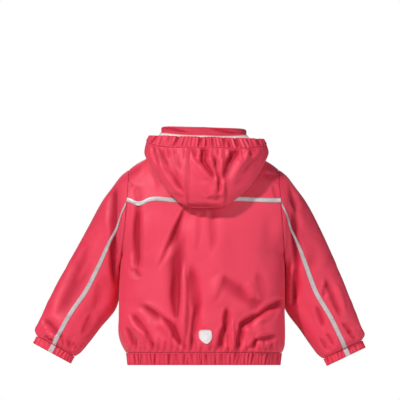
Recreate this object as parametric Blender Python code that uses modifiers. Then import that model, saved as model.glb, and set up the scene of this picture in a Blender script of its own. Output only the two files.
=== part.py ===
"""Kids hooded rain jacket, size 104, filled out and hollow with nobody in it.

Sizes below are in millimetres and are turned into metres where a mesh is made. The back of
the jacket faces -Y, its front faces +Y and +Z is up. The origin is in the middle of the neck
opening, where the wearer's shoulders hold the jacket.
"""
import math

import bpy
import numpy as np

MM = 0.001

# Cloth
CLOTH = 1.6                 # coated cloth with its backing
BAND_WALL = 2.0             # elastic bands, measured at the foot of a gather
LINING_WALL = 1.0
TAPE_WALL = 0.7
GAP = 0.36                  # left between two pieces at a seam
LAID_ON = 0.34              # between a panel and what is sewn on it
SHARP = 50.0                # degrees from which an edge is shaded sharp
BAND_SHARP = 12.0

# Body
ROUNDNESS = 2.5             # 2 is an ellipse, higher is a flatter back with tighter sides
HEM_SEAM = -411.0
HEM_BOTTOM = -437.0
HEM_SHIFT = 4.7             # the hem hangs a little towards +X
HEM_TAPER = 3.0             # the elastic band is this much narrower at its lower edge
UNDERARM = -205.0
YOKE_SEAM = -91.0
BODY_SECTIONS = (
    ("height", "half_width", "back_depth", "front_depth"),
    (-411.0, 163.5, 80.0, 77.0),
    (-400.0, 169.5, 85.0, 82.0),
    (-378.0, 174.3, 88.5, 86.0),
    (-330.0, 174.3, 89.0, 87.0),
    (-270.0, 174.0, 87.5, 86.0),
    (-205.0, 171.0, 85.5, 83.0),
    (-150.0, 168.0, 84.0, 80.0),
    (-91.0, 164.0, 79.0, 76.0),
)
LOWER_ROWS = (-411.0, -402.0, -388.0, -368.0, -345.0, -320.0, -294.0, -268.0, -245.0, -224.0)
ARMHOLE_ROWS = 6            # from the underarm to the yoke seam
YOKE_ROWS = 6               # from the yoke seam to the shoulder seam

# Armhole, an oval in a nearly upright plane
SHOULDER_TIP = (157.0, -27.0)        # x, z
ARM_PIT = (171.0, -205.0)
ARMHOLE_DEPTH = 56.0        # half of its size from front to back

# Shoulder and neck
SHOULDER_SEAM_Y = -12.0
SHOULDER_SLOPE = 0.20
SHOULDER_DROOP = 0.0043     # how the slope steepens for each millimetre outwards
NECK_HALF_WIDTH = 86.0
NECK_BACK = 46.0
NECK_FRONT = 50.0
FRONT_NECK_SHARE = 0.64     # of the front's width lies below the neck, the rest below the seam
NECK_HEIGHTS = (
    ("y", "height"),
    (-46.0, 14.0), (-24.0, 11.5), (0.0, 8.0), (24.0, -7.0), (40.0, -22.0), (50.0, -31.0),
)

# Turns of the armhole at which the yoke seam and the shoulder seam meet it
ARMHOLE_MIDDLE = (SHOULDER_TIP[1] + ARM_PIT[1]) / 2.0
ARMHOLE_HALF = (SHOULDER_TIP[1] - ARM_PIT[1]) / 2.0
YOKE_TURN = math.degrees(math.acos((ARMHOLE_MIDDLE - YOKE_SEAM) / ARMHOLE_HALF))
SEAM_TURN = 180.0 - math.degrees(math.asin(-SHOULDER_SEAM_Y / ARMHOLE_DEPTH))

# The jacket leans a little towards +X above its middle, and its neck tilts
LEAN = 4.5
NECK_TILT = 0.030
HOOD_SHIFT = 5.5

# The yoke's seam hangs in shallow waves behind the shoulders
YOKE_WAVE_REACH = 45.0
YOKE_WAVES = (
    ("x", "spread", "rise"),
    (-158.0, 12.0, 2.0), (-132.0, 15.0, -7.5), (-95.0, 24.0, 3.5), (78.0, 40.0, 3.0),
)

# Collar
COLLAR_TOP = (
    ("turn", "height", "half_width", "depth"),
    (0.0, 63.0, 89.5, 50.0), (90.0, 58.0, 89.5, 50.0), (135.0, 44.0, 89.5, 53.0),
    (180.0, 28.0, 89.5, 56.0),
)
COLLAR_ROWS = (0.012, 0.33, 0.66, 1.0)
COLLAR_FRONT_TURNS = (160.0, 171.0, 179.4)

# Sleeve rings: the outer and the inner point of each, and half of its depth
SLEEVE_RINGS = (
    ("step", "outer_x", "outer_z", "inner_x", "inner_z", "depth", "forward"),
    (0, 157.0, -27.0, 171.0, -205.0, 56.0, 0.0),
    (1, 172.0, -38.0, 173.0, -211.0, 56.5, 5.3),
    (2, 190.0, -61.0, 172.0, -219.0, 56.5, 15.0),
    (3, 210.0, -88.0, 170.5, -229.0, 55.5, 24.0),
    (4, 232.0, -126.0, 170.5, -243.0, 53.0, 30.5),
    (5, 256.0, -173.0, 170.5, -264.0, 50.0, 35.0),
    (6, 277.0, -215.0, 171.5, -290.0, 47.0, 37.0),
    (7, 297.0, -256.0, 178.0, -320.0, 44.5, 38.0),
    (8, 317.0, -299.0, 207.0, -358.0, 42.0, 38.0),
    (9, 333.0, -337.0, 229.5, -389.0, 38.5, 38.0),
    (10, 344.0, -370.0, 250.0, -414.0, 32.0, 37.0),
    (11, 341.2, -380.6, 261.6, -421.2, 22.0, 37.0),
)
SLEEVE_STEPS = (0.0, 0.5, 1.0, 2.0, 3.0, 4.0, 5.0, 6.0, 7.0, 8.0, 8.8, 9.5, 10.0, 10.5, 11.0)
SLEEVE_SEAMS = (
    ("step", "back_seam", "underarm_seam"),
    (0, 79.0, 180.0), (1, 86.0, 178.0), (2, 91.0, 174.0), (3, 93.0, 170.0), (4, 92.0, 165.0),
    (6, 87.0, 153.0), (8, 83.0, 147.0), (10, 83.0, 146.0), (11, 84.0, 146.0),
)
UPPER_COLUMNS = 21
UNDER_COLUMNS = 7
BESIDE_BODY = 1.9           # a sleeve keeps this far from the body's side
SLEEVE_SWING = 1.5          # degrees: the left sleeve hangs further out than the right one

# Elastic bands
HEM_GATHERS = 104
CUFF_GATHERS = 30
CASING_GATHERS = 36
HEM_RISE = 1.3
CUFF_RISE = 1.2
CASING_RISE = 1.7
CUFF_HEIGHT = 17.0

# Hood, by the turn round the neck from the middle of the back
HOOD_SECTIONS = (
    ("turn", "edge_r", "edge_z", "belly_r", "belly_z", "low_r", "low_z", "bend", "inner_r"),
    (0.0, 90.0, 43.0, 122.0, -30.0, 104.0, -107.0, 14.0, 74.0),
    (12.0, 92.0, 43.0, 124.0, -30.0, 105.0, -107.0, 14.0, 75.0),
    (22.0, 97.0, 43.0, 127.0, -28.0, 107.5, -105.0, 14.0, 77.0),
    (34.0, 106.0, 43.0, 132.0, -18.0, 113.0, -90.0, 13.0, 86.0),
    (46.0, 117.0, 43.0, 138.0, -6.0, 120.0, -68.0, 12.0, 95.0),
    (58.0, 126.0, 42.5, 140.0, 4.0, 125.0, -38.0, 11.0, 101.0),
    (70.0, 126.0, 42.0, 138.0, 12.0, 125.0, -13.0, 9.0, 103.0),
    (84.0, 117.0, 41.0, 126.0, 24.0, 115.0, 6.0, 7.0, 99.0),
    (100.0, 106.0, 37.0, 113.0, 22.0, 104.5, 6.0, 6.0, 94.0),
    (118.0, 92.0, 25.0, 98.0, 12.0, 90.0, 0.0, 6.0, 81.0),
    (134.0, 82.0, 13.0, 86.5, 3.0, 79.0, -8.0, 5.5, 71.0),
    (148.0, 74.0, 3.0, 78.0, -4.0, 72.0, -14.0, 5.0, 65.5),
)
HOOD_BACK_TURNS = (0.0, 6.0, 12.0, 19.5)                     # centre panel, one half
HOOD_SIDE_TURNS = (19.5, 27.0, 35.0, 43.0, 51.0, 58.0, 65.0, 72.0, 80.0, 90.0, 102.0, 116.0,
                   132.0, 148.0)
HOOD_BELOW_COLLAR = 13.0    # from the top of the collar down to the hood's neck seam
HOOD_ROWS = (0.0, 0.12, 0.24, 0.36, 0.44, 0.50, 0.56, 0.64, 0.76, 0.88)
HOOD_FOLDS = (
    ("turn", "spread", "rise"),
    (8.0, 4.5, 2.6), (-6.0, 5.0, -2.4), (30.0, 5.0, -2.2), (-33.0, 6.0, -2.0),
)
CASING_END = 76.0           # turn at which the gathered elastic ends on each side
CASING_PLAIN_TURNS = (84.0, 94.0, 106.0, 120.0, 134.0, 148.0)        # beyond the elastic
CASING_DEEP = 27.0          # along the cloth, at most
CASING_GAP = 0.5
LINING_TURN = 91.0          # the lining reaches this far round on each side
LINING_DEPTH = 0.37         # and this far down the hood's section

# Reflective tape and badge
YOKE_TAPE_HALF = 4.6
SLEEVE_TAPE_HALF = 4.6
TAPE_ABOVE_CUFF = 0.45      # share of the sleeve's last row that its tape leaves bare
BADGE_CENTRE = (7.5, -378.0)         # x, z
BADGE_HALF_WIDTH = 14.0
BADGE_HALF_HEIGHT = 15.0

# Front fastening
PLACKET_HALF = 19.0
STUD_HEIGHTS = (-50.0, -117.0, -184.0, -251.0, -318.0, -385.0)
STUD_RADIUS = 6.5
STUD_HEIGHT = 2.6
STUD_GAP = 0.45             # the placket curves slightly below a stud's flat foot
STUD_EDGE = 0.9             # rounding of a stud's rim

# Largest folds of the body: from (x, z) to (x, z), with half width and rise (hollow if below 0)
BACK_FOLDS = (
    ("x_from", "z_from", "x_to", "z_to", "spread", "rise"),
    (-137.0, -125.0, -139.0, -232.0, 13.0, -4.5),
    (-119.0, -130.0, -118.0, -225.0, 14.0, 3.0),
    (-25.0, -108.0, -79.0, -200.0, 14.0, -4.0),
    (-57.0, -205.0, -61.0, -318.0, 13.0, -4.0),
    (-41.0, -235.0, -44.0, -372.0, 12.0, 5.0),
    (-20.0, -228.0, -9.0, -396.0, 13.0, -5.5),
    (34.0, -122.0, 34.0, -315.0, 26.0, 4.5),
    (160.0, -300.0, 74.0, -360.0, 15.0, -6.0),
    (55.0, -318.0, 58.0, -398.0, 11.0, -5.0),
    (79.0, -350.0, 80.0, -402.0, 10.0, -4.0),
    (-150.0, -312.0, -84.0, -372.0, 14.0, -4.5),
    (-130.0, -352.0, -100.0, -396.0, 12.0, 3.5),
    (118.0, -360.0, 128.0, -400.0, 12.0, 3.5),
    (138.0, -120.0, 144.0, -235.0, 15.0, -4.0),
    (12.0, -320.0, 24.0, -395.0, 16.0, 3.5),
)
FRONT_FOLDS = (
    ("x_from", "z_from", "x_to", "z_to", "spread", "rise"),
    (140.0, -120.0, 132.0, -230.0, 14.0, -4.5),
    (62.0, -118.0, 92.0, -210.0, 15.0, -4.0),
    (88.0, -226.0, 82.0, -392.0, 14.0, -5.0),
    (56.0, -240.0, 54.0, -395.0, 14.0, 4.0),
    (112.0, -290.0, 116.0, -398.0, 13.0, 4.0),
    (150.0, -300.0, 106.0, -372.0, 14.0, -4.5),
    (-138.0, -118.0, -142.0, -236.0, 14.0, -4.5),
    (-60.0, -128.0, -76.0, -232.0, 15.0, -3.5),
    (-70.0, -262.0, -64.0, -396.0, 13.0, -5.0),
    (-96.0, -250.0, -100.0, -398.0, 14.0, 4.5),
    (-150.0, -310.0, -120.0, -388.0, 14.0, -4.0),
)
# Largest folds of a sleeve: by step along it and turn round it
SLEEVE_FOLDS = (
    ("step_from", "turn_from", "step_to", "turn_to", "spread", "rise"),
    (1.2, 100.0, 4.5, 128.0, 13.0, -4.5),
    (0.8, 40.0, 3.2, 20.0, 13.0, 2.5),
    (5.6, 120.0, 8.8, 112.0, 11.0, -3.0),
    (8.9, 60.0, 10.3, 30.0, 9.0, -3.5),
    (9.3, 20.0, 10.4, -12.0, 9.0, 3.0),
    (9.0, 112.0, 10.4, 128.0, 9.0, -3.0),
    (1.0, -108.0, 4.6, -132.0, 13.0, -4.5),
    (5.0, -70.0, 8.2, -96.0, 13.0, -3.5),
    (8.8, -52.0, 10.3, -84.0, 9.0, -3.5),
    (9.0, -116.0, 10.4, -108.0, 9.0, 3.0),
)


# ------------------------------------------------------------------ small maths

def column(table, name):
    """One named column of a table."""
    place = table[0].index(name)
    return np.array([row[place] for row in table[1:]], float)


def smooth(low, high, value):
    """Ease from 0 at low to 1 at high."""
    share = np.clip((value - low) / (high - low), 0.0, 1.0)
    return share * share * (3.0 - 2.0 * share)


def mix(start, end, share):
    return start + (end - start) * share


def hermite(start, end, leave, arrive, share):
    """Cubic from start to end with the given speeds at its two ends."""
    square = share * share
    cube = square * share
    return ((2.0 * cube - 3.0 * square + 1.0) * start + (cube - 2.0 * square + share) * leave
            + (3.0 * square - 2.0 * cube) * end + (cube - square) * arrive)


def spline(knots, values, at):
    """Smooth curve through the values, read at one or many places."""
    order = np.argsort(knots)
    knots = knots[order]
    values = values[order]
    slopes = np.gradient(values, knots)
    at = np.clip(at, knots[0], knots[-1])
    left = np.clip(np.searchsorted(knots, at) - 1, 0, len(knots) - 2)
    span = knots[left + 1] - knots[left]
    share = (at - knots[left]) / span
    return hermite(values[left], values[left + 1], slopes[left] * span,
                   slopes[left + 1] * span, share)


def read(table, key, name, at):
    return spline(column(table, key), column(table, name), at)


def resample(points, count, first=0.0, middle=None):
    """The same line with count points, evenly spaced. For a front panel the first step is the
    placket's half width, and the middle point may be put at a chosen share of the line."""
    points = np.asarray(points, float)
    lengths = np.concatenate(([0.0], np.cumsum(np.linalg.norm(np.diff(points, axis=0), axis=1))))
    whole = lengths[-1]
    wanted = np.linspace(0.0, whole, count)
    if first:
        wanted = np.concatenate(([0.0], np.linspace(first, whole, count - 1)))
    if middle:
        half = count // 2
        wanted[1:half + 1] = np.linspace(first, middle * whole, half)
        wanted[half:] = np.linspace(middle * whole, whole, count - half)
    return np.stack([np.interp(wanted, lengths, points[:, axis]) for axis in range(3)], axis=1)


def unit(vectors):
    return vectors / np.maximum(np.linalg.norm(vectors, axis=-1, keepdims=True), 1e-9)


def mirrored(points):
    return points * np.array([-1.0, 1.0, 1.0])


def line_folds(across, along, table, from_names, to_names):
    """Rise of the cloth from a table of folds, each a soft ridge or hollow round a line."""
    starts = np.stack([column(table, name) for name in from_names], axis=1)
    ends = np.stack([column(table, name) for name in to_names], axis=1)
    rise = np.zeros_like(across)
    for start, end, spread, height in zip(starts, ends, column(table, "spread"),
                                          column(table, "rise")):
        run = end - start
        share = ((across - start[0]) * run[0] + (along - start[1]) * run[1]) / np.dot(run, run)
        near = np.clip(share, 0.0, 1.0)
        aside = np.hypot(across - start[0] - near * run[0], along - start[1] - near * run[1])
        fade = smooth(-0.12, 0.25, share) * (1.0 - smooth(0.75, 1.12, share))
        rise += height * fade * np.exp(-(aside / spread) ** 2)
    return rise


# ------------------------------------------------------------------ walls and objects

def settle(points):
    """The lean of the whole jacket and the tilt of its neck, in millimetres."""
    points = np.array(points, float)
    height = points[..., 2].copy()
    tilt = NECK_TILT * points[..., 0] * smooth(0.0, 40.0, height)
    points[..., 0] += LEAN * smooth(-320.0, -110.0, height)
    points[..., 0] += HEM_SHIFT * smooth(-370.0, HEM_SEAM, height) * (
        1.0 - smooth(200.0, 230.0, np.abs(points[..., 0])))
    near = np.exp(-((height - YOKE_SEAM) / YOKE_WAVE_REACH) ** 2)
    near = near * (1.0 - smooth(-28.0, -6.0, points[..., 1]))
    for middle, spread, rise in YOKE_WAVES[1:]:
        points[..., 2] += rise * near * np.exp(-((points[..., 0] - middle) / spread) ** 2)
    points[..., 2] -= tilt
    return points


def normals_of(grid, closed=False):
    """Unit normals of a grid of points, from its rows (first index) and columns."""
    if closed:
        wide = np.concatenate([grid[:, -1:], grid, grid[:, :1]], axis=1)
        across = (wide[:, 2:] - wide[:, :-2]) / 2.0
    else:
        across = np.gradient(grid, axis=1)
    up = np.gradient(grid, axis=0)
    return unit(np.cross(across, up))


def add_object(name, vertices, faces, material, sharp=SHARP):
    mesh = bpy.data.meshes.new(name)
    mesh.from_pydata([tuple(point * MM) for point in settle(vertices)], [], faces)
    mesh.materials.append(material)
    mesh.shade_smooth()
    mesh.set_sharp_from_angle(angle=math.radians(sharp))
    result = bpy.data.objects.new(name, mesh)
    JACKET.objects.link(result)
    return result


def wall(name, outer, inner, material, closed=False, sharp=SHARP):
    """A closed wall between two grids of points. The outer side is seen with rows running up
    and columns running to the right. A closed grid runs all round."""
    rows, columns = outer.shape[:2]
    half = rows * columns
    vertices = np.concatenate([outer.reshape(-1, 3), inner.reshape(-1, 3)])
    faces = []

    def corner(row, place, side):
        return side * half + row * columns + place % columns

    def quad(one, two, three, four):
        faces.append((one, two, three))
        faces.append((one, three, four))

    spans = columns if closed else columns - 1
    for row in range(rows - 1):
        for place in range(spans):
            for side in (0, 1):
                ring = [corner(row, place, side), corner(row, place + 1, side),
                        corner(row + 1, place + 1, side), corner(row + 1, place, side)]
                if side == 0:
                    quad(*ring)
                else:
                    faces.append((ring[0], ring[2], ring[1]))
                    faces.append((ring[0], ring[3], ring[2]))
    # Facing edges are split along the same diagonal, so that two pieces never cross at a seam.
    for place in range(spans):
        quad(corner(0, place, 1), corner(0, place + 1, 1),
             corner(0, place + 1, 0), corner(0, place, 0))
        quad(corner(rows - 1, place + 1, 0), corner(rows - 1, place + 1, 1),
             corner(rows - 1, place, 1), corner(rows - 1, place, 0))
    if not closed:
        for row in range(rows - 1):
            quad(corner(row, 0, 0), corner(row + 1, 0, 0),
                 corner(row + 1, 0, 1), corner(row, 0, 1))
            quad(corner(row + 1, columns - 1, 1), corner(row + 1, columns - 1, 0),
                 corner(row, columns - 1, 0), corner(row, columns - 1, 1))
    return add_object(name, vertices, faces, material, sharp)


def pull_in(grid, *edges):
    """Move the named edge rows or columns towards their neighbours by half a seam's gap."""
    grid = grid.copy()
    for edge in edges:
        here, beside = {"bottom": (grid[0], grid[1]), "top": (grid[-1], grid[-2]),
                        "left": (grid[:, 0], grid[:, 1]),
                        "right": (grid[:, -1], grid[:, -2])}[edge]
        here += unit(beside - here) * GAP / 2.0
    return grid


def strip(name, grid, normals, material, thickness, standing=LAID_ON):
    """Something sewn on a panel, made from the panel's own points, moved out."""
    return wall(name, grid + normals * (standing + thickness), grid + normals * standing,
                material)


# ------------------------------------------------------------------ body

def armhole(turn):
    """Point of the right armhole: turn 0 at the underarm and 180 degrees at the shoulder."""
    turn = np.radians(turn)
    height = ARMHOLE_MIDDLE - ARMHOLE_HALF * np.cos(turn)
    return np.array([armhole_plane(height), ARMHOLE_DEPTH * np.sin(turn), height])


def armhole_plane(height):
    """The x of the armhole's plane at a height."""
    share = (height - ARM_PIT[1]) / (SHOULDER_TIP[1] - ARM_PIT[1])
    return mix(ARM_PIT[0], SHOULDER_TIP[0], share)


def half_row(height, edge, facing, count):
    """Half of one level line of the body, from its middle to the edge point at the side."""
    depth = read(BODY_SECTIONS, "height", "back_depth" if facing < 0 else "front_depth", height)
    reach = max(edge[1], 1e-6)
    half_width = edge[0] / (1.0 - (reach / depth) ** ROUNDNESS) ** (1.0 / ROUNDNESS)
    turn = np.linspace(0.0, math.pi / 2.0, 361)
    x = half_width * np.sin(turn) ** (2.0 / ROUNDNESS)
    y = depth * np.abs(np.cos(turn)) ** (2.0 / ROUNDNESS)
    keep = x < edge[0]
    x = np.append(x[keep], edge[0])
    y = np.append(y[keep], reach)
    bend = smooth(0.35, 1.0, x / edge[0])
    line = np.stack([x, facing * y, mix(height, edge[2], bend)], axis=1)
    if facing < 0:
        return resample(line, count)
    return resample(line, count, PLACKET_HALF, FRONT_NECK_SHARE)


def lower_rows(facing, count):
    """Level lines from the hem seam to the yoke seam, each from the middle to the side."""
    rows = []
    for height in LOWER_ROWS:
        side = read(BODY_SECTIONS, "height", "half_width", height)
        rows.append(half_row(height, (side, 0.0, height), facing, count))
    turns = np.linspace(0.0, YOKE_TURN, ARMHOLE_ROWS + 1)
    heights = np.linspace(UNDERARM, YOKE_SEAM, ARMHOLE_ROWS + 1)
    for turn, height in zip(turns, heights):
        rows.append(half_row(height, armhole(turn), facing, count))
    return np.array(rows)


def shoulder_line(facing, count):
    """The neck line and the shoulder seam, from the middle of the neck to the armhole."""
    corner_turn = math.pi / 2.0 + math.asin(-SHOULDER_SEAM_Y / NECK_BACK)
    turn = np.linspace(math.pi if facing < 0 else 0.0, corner_turn, 121)
    y = np.cos(turn) * np.where(np.cos(turn) < 0.0, NECK_BACK, NECK_FRONT)
    neck = np.stack([NECK_HALF_WIDTH * np.sin(turn), y,
                     read(NECK_HEIGHTS, "y", "height", y)], axis=1)
    corner = neck[-1]
    tip = armhole(SEAM_TURN)
    across = np.linspace(corner[0], tip[0], 61)
    fall = (SHOULDER_SLOPE * (across - corner[0])
            + SHOULDER_DROOP * (across - corner[0]) ** 2)
    fall *= (corner[2] - tip[2]) / fall[-1]
    seam = np.stack([across, np.full_like(across, corner[1]), corner[2] - fall], axis=1)
    neck_count = count // 2 + 1
    return np.concatenate([resample(neck, neck_count, PLACKET_HALF if facing > 0 else 0.0)[:-1],
                           resample(seam, count - neck_count + 1)])


def yoke_rows(base, facing, rows):
    """From a level line up over the shoulder to the shoulder seam and the neck."""
    count = len(base)
    top = shoulder_line(facing, count)
    places = np.linspace(0.0, 1.0, count)[:, None]
    on_shoulder = smooth(0.20, 0.52, places)
    to_tip = smooth(0.50, 1.0, places)
    reach = np.linalg.norm(top - base, axis=1)[:, None]
    speed = mix(mix(1.05, 0.85, on_shoulder), 1.10, to_tip)
    leave = unit(np.array([0.0, -0.10 * facing, 1.0])) * reach * speed
    beside_neck = (top[:, 0] / NECK_HALF_WIDTH).clip(0.0, 1.0) ** 2
    round_neck = np.stack([-0.7 * beside_neck, -0.45 * facing * np.ones(count),
                           0.9 - 0.43 * beside_neck], axis=1)
    inwards = 0.7 * (1.0 - to_tip)
    over = np.concatenate([-inwards, np.full((count, 1), -float(facing)),
                           facing * mix(0.20, -0.35, to_tip) + SHOULDER_SLOPE * inwards], axis=1)
    arrive = unit(mix(round_neck, over, on_shoulder)) * reach * mix(0.68, 1.15, to_tip)
    last_turn = SEAM_TURN if facing < 0 else 360.0 - SEAM_TURN
    result = []
    for share in np.linspace(0.0, 1.0, rows + 1):
        row = hermite(base, top, leave, arrive, share)
        edge = armhole(mix(YOKE_TURN, last_turn, share)) * np.array([1.0, facing, 1.0])
        row += (edge - row[-1]) * smooth(0.55, 1.0, places)
        result.append(row)
    return np.array(result), unit(over)


def seam_normals(normals, grid, over):
    """Along the shoulder seam both panels share the normal of one surface."""
    line = grid[-1]
    for place in np.flatnonzero(np.abs(line[:, 1] - SHOULDER_SEAM_Y) < 0.001):
        outwards = int(np.sign(line[place, 0])) * int(np.sign(line[-1, 0] - line[0, 0]))
        beside = place + outwards
        if beside < 0 or beside >= len(line):
            beside = place - outwards
        shared = unit(np.cross(line[beside] - line[place], over[place]))
        normals[-1, place] = shared * np.sign(shared[2])


def body_rise(grid, facing, places):
    """Folds of the body at each point, faded out towards its seams."""
    folds = BACK_FOLDS if facing < 0 else FRONT_FOLDS
    rise = line_folds(grid[..., 0], grid[..., 2], folds, ("x_from", "z_from"), ("x_to", "z_to"))
    fade = smooth(HEM_SEAM, HEM_SEAM + 14.0, grid[..., 2])
    fade = fade * (1.0 - smooth(YOKE_SEAM - 30.0, YOKE_SEAM - 4.0, grid[..., 2]))
    return rise * fade * (1.0 - smooth(0.88, 1.0, np.abs(places)))


def make_back(colour):
    """The back panel and the yoke above it, full width, with the reflective yoke tape."""
    count = 19
    lower = lower_rows(-1, count)
    upper, over = yoke_rows(lower[-1], -1, YOKE_ROWS)
    over = np.concatenate([mirrored(over[:0:-1]), over])
    both = []
    for half in (lower, upper):
        full = np.concatenate([mirrored(half[:, :0:-1]), half], axis=1)
        both.append(full)
    places = np.linspace(-1.0, 1.0, 2 * count - 1)
    panel = with_tape_row(both[0], -2)
    yoke = with_tape_row(both[1], 1)
    whole = np.concatenate([panel, yoke[1:]])
    normals = normals_of(whole)
    flatten_sides(normals, whole)
    whole = whole + normals * body_rise(whole, -1, places)[..., None]
    normals = normals_of(whole)
    flatten_sides(normals, whole)
    seam_normals(normals, whole, over)
    seam = len(panel) - 1
    back = pull_in(whole[:seam + 1], "bottom", "top")
    back = side_gap(back, -1)
    wall("back_panel", back, back - normals[:seam + 1] * CLOTH, colour)
    top = pull_in(whole[seam:], "bottom", "top")
    wall("back_yoke", top, top - normals[seam:] * CLOTH, colour)
    taped = slice(seam - 1, seam + 2)
    strip("yoke_tape", pull_in(whole[taped], "left", "right"), normals[taped], TAPE, TAPE_WALL)
    badge(whole)


def with_tape_row(grid, place):
    """The grid with one row moved to the tape's edge, so that the tape follows the panel."""
    grid = grid.copy()
    seam, row = (-1, place) if place < 0 else (0, place)
    run = unit(grid[place] - grid[seam])
    beyond = place - 1 if place < 0 else place + 1
    moved = grid[seam] + run * YOKE_TAPE_HALF
    extra = mix(moved, grid[beyond], 0.45)
    grid[row] = moved
    if place < 0:
        return np.concatenate([grid[:place], extra[None], grid[place:]])
    return np.concatenate([grid[:place + 1], extra[None], grid[place + 1:]])


def flatten_sides(normals, grid):
    """At a side seam both panels share one normal, square to the seam."""
    below = grid[:, -1, 2] <= UNDERARM + 0.5
    for side in (0, -1):
        normals[below, side, 1] = 0.0
        normals[:, side] = unit(normals[:, side])


def side_gap(grid, facing):
    """Open the side seams by half a gap, below the underarm."""
    grid = grid.copy()
    below = grid[:, -1, 2] <= UNDERARM + 0.5
    grid[below, 0, 1] += facing * GAP / 2.0
    grid[below, -1, 1] += facing * GAP / 2.0
    return grid


def make_front(name, side, colour):
    """One front panel; side is 1 for +X. Returns its grid and normals for what lies on it."""
    count = 14
    half = lower_rows(1, count)
    top, over = yoke_rows(half[-1], 1, YOKE_ROWS + 1)
    grid = np.concatenate([half, top[1:]])
    if side < 0:
        grid = mirrored(grid)
        over = mirrored(over)
    places = np.linspace(0.0, 1.0, grid.shape[1])[None, :] * np.ones((len(grid), 1))
    away = smooth(PLACKET_HALF, PLACKET_HALF + 22.0, np.abs(grid[..., 0]))

    def facing_out(points):
        result = normals_of(points) * -float(side)
        result[:, 0, 0] = 0.0
        below = points[:, -1, 2] <= UNDERARM + 0.5
        result[below, -1, 1] = 0.0
        seam_normals(result, points, over)
        return unit(result)

    grid = grid + facing_out(grid) * (body_rise(grid, 1, places) * away)[..., None]
    normals = facing_out(grid)
    panel = pull_in(grid, "bottom", "top")
    below = panel[:, -1, 2] <= UNDERARM + 0.5
    panel[below, -1, 1] += GAP / 2.0
    panel[:, 0, 0] += side * GAP / 2.0
    inner = panel - normals * CLOTH
    if side > 0:
        wall(name, panel[:, ::-1], inner[:, ::-1], colour)
    else:
        wall(name, panel, inner, colour)
    return grid, normals


def badge(grid):
    """A plain shield low on the back, with a flat face."""
    centre_x, centre_z = BADGE_CENTRE
    near = (np.abs(grid[..., 0] - centre_x) < BADGE_HALF_WIDTH + 12.0)
    near &= np.abs(grid[..., 2] - centre_z) < BADGE_HALF_HEIGHT + 14.0
    near &= grid[..., 1] < 0.0
    across = grid[near]
    flat = np.column_stack([across[:, 0], across[:, 2], np.ones(len(across))])
    tilt, *_ = np.linalg.lstsq(flat, across[:, 1], rcond=None)
    most = np.min(across[:, 1] - flat @ tilt)
    outline = []
    for x, z in shield_outline():
        y = tilt[0] * (centre_x + x) + tilt[1] * (centre_z + z) + tilt[2] + most - 0.35
        outline.append((centre_x + x, y, centre_z + z))
    count = len(outline)
    back_face = np.array(outline)
    front_face = back_face + np.array([0.0, -1.2, 0.0])
    vertices = np.concatenate([front_face, back_face])
    faces = [tuple(range(count)), tuple(range(2 * count - 1, count - 1, -1))]
    for place in range(count):
        after = (place + 1) % count
        faces.append((place, place + count, after + count, after))
    add_object("back_badge", vertices, faces, BADGE)


def shield_outline():
    """Shield with a flat top, round corners and a blunt point, counter-clockwise."""
    outline = []
    for turn in np.arange(0.0, 360.0, 15.0):
        across = math.cos(math.radians(turn))
        up = math.sin(math.radians(turn))
        power = 2.0 / (5.0 if up > 0.0 else 1.5)
        outline.append((BADGE_HALF_WIDTH * math.copysign(abs(across) ** power, across),
                        BADGE_HALF_HEIGHT * math.copysign(abs(up) ** power, up)))
    return outline


# ------------------------------------------------------------------ sleeves

def sleeve_point(step, turn, side):
    """Point of a sleeve; turn 0 is its outer line, 90 degrees its back and 180 its inner line."""
    angle = np.radians(turn)
    outer = np.array([read(SLEEVE_RINGS, "step", "outer_x", step),
                      read(SLEEVE_RINGS, "step", "outer_z", step)])
    inner = np.array([read(SLEEVE_RINGS, "step", "inner_x", step),
                      read(SLEEVE_RINGS, "step", "inner_z", step)])
    depth = read(SLEEVE_RINGS, "step", "depth", step)
    middle = (outer + inner) / 2.0
    reach = (outer - inner) / 2.0
    x = middle[0] + reach[0] * np.cos(angle)
    z = middle[1] + reach[1] * np.cos(angle)
    y = read(SLEEVE_RINGS, "step", "forward", step) - depth * np.sin(angle)
    swing = math.radians(-side * SLEEVE_SWING) * smooth(2.5, 8.0, step)
    pivot_x, pivot_z = ARM_PIT
    from_x = x - pivot_x
    from_z = z - pivot_z
    x = pivot_x + from_x * np.cos(swing) - from_z * np.sin(swing)
    z = pivot_z + from_x * np.sin(swing) + from_z * np.cos(swing)
    return np.stack([x, y, z], axis=-1)


def sleeve_grid(side, steps, turns):
    """Rows by step from the cuff to the armhole, columns by turn, for the sleeve at +X."""
    grid = np.array([sleeve_point(step, turn, side) for step, turn in zip(steps, turns)])
    rows = np.array(steps)[:, None] * np.ones_like(grid[..., 0])
    rise = line_folds(np.array(turns) * 0.75, rows * 38.0, scaled_sleeve_folds(),
                      ("across_from", "along_from"), ("across_to", "along_to"))
    fade = smooth(0.3, 1.4, rows) * (1.0 - smooth(10.2, 10.9, rows))
    inner_line = smooth(120.0, 168.0, np.abs(wrap(np.array(turns))))
    fade = fade * (1.0 - inner_line * (1.0 - smooth(6.5, 8.5, rows)))
    return grid, rise * fade


def wrap(turns):
    """Turns brought between -180 and 180 degrees."""
    return (turns + 180.0) % 360.0 - 180.0


def scaled_sleeve_folds():
    """Sleeve folds in millimetres on the laid-out sleeve, for each way round the turns."""
    rows = [("across_from", "along_from", "across_to", "along_to", "spread", "rise")]
    for row in SLEEVE_FOLDS[1:]:
        for lap in (0.0, -360.0):
            rows.append(((row[1] + lap) * 0.75, row[0] * 38.0, (row[3] + lap) * 0.75,
                         row[2] * 38.0, row[4], row[5]))
    return tuple(rows)


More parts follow.
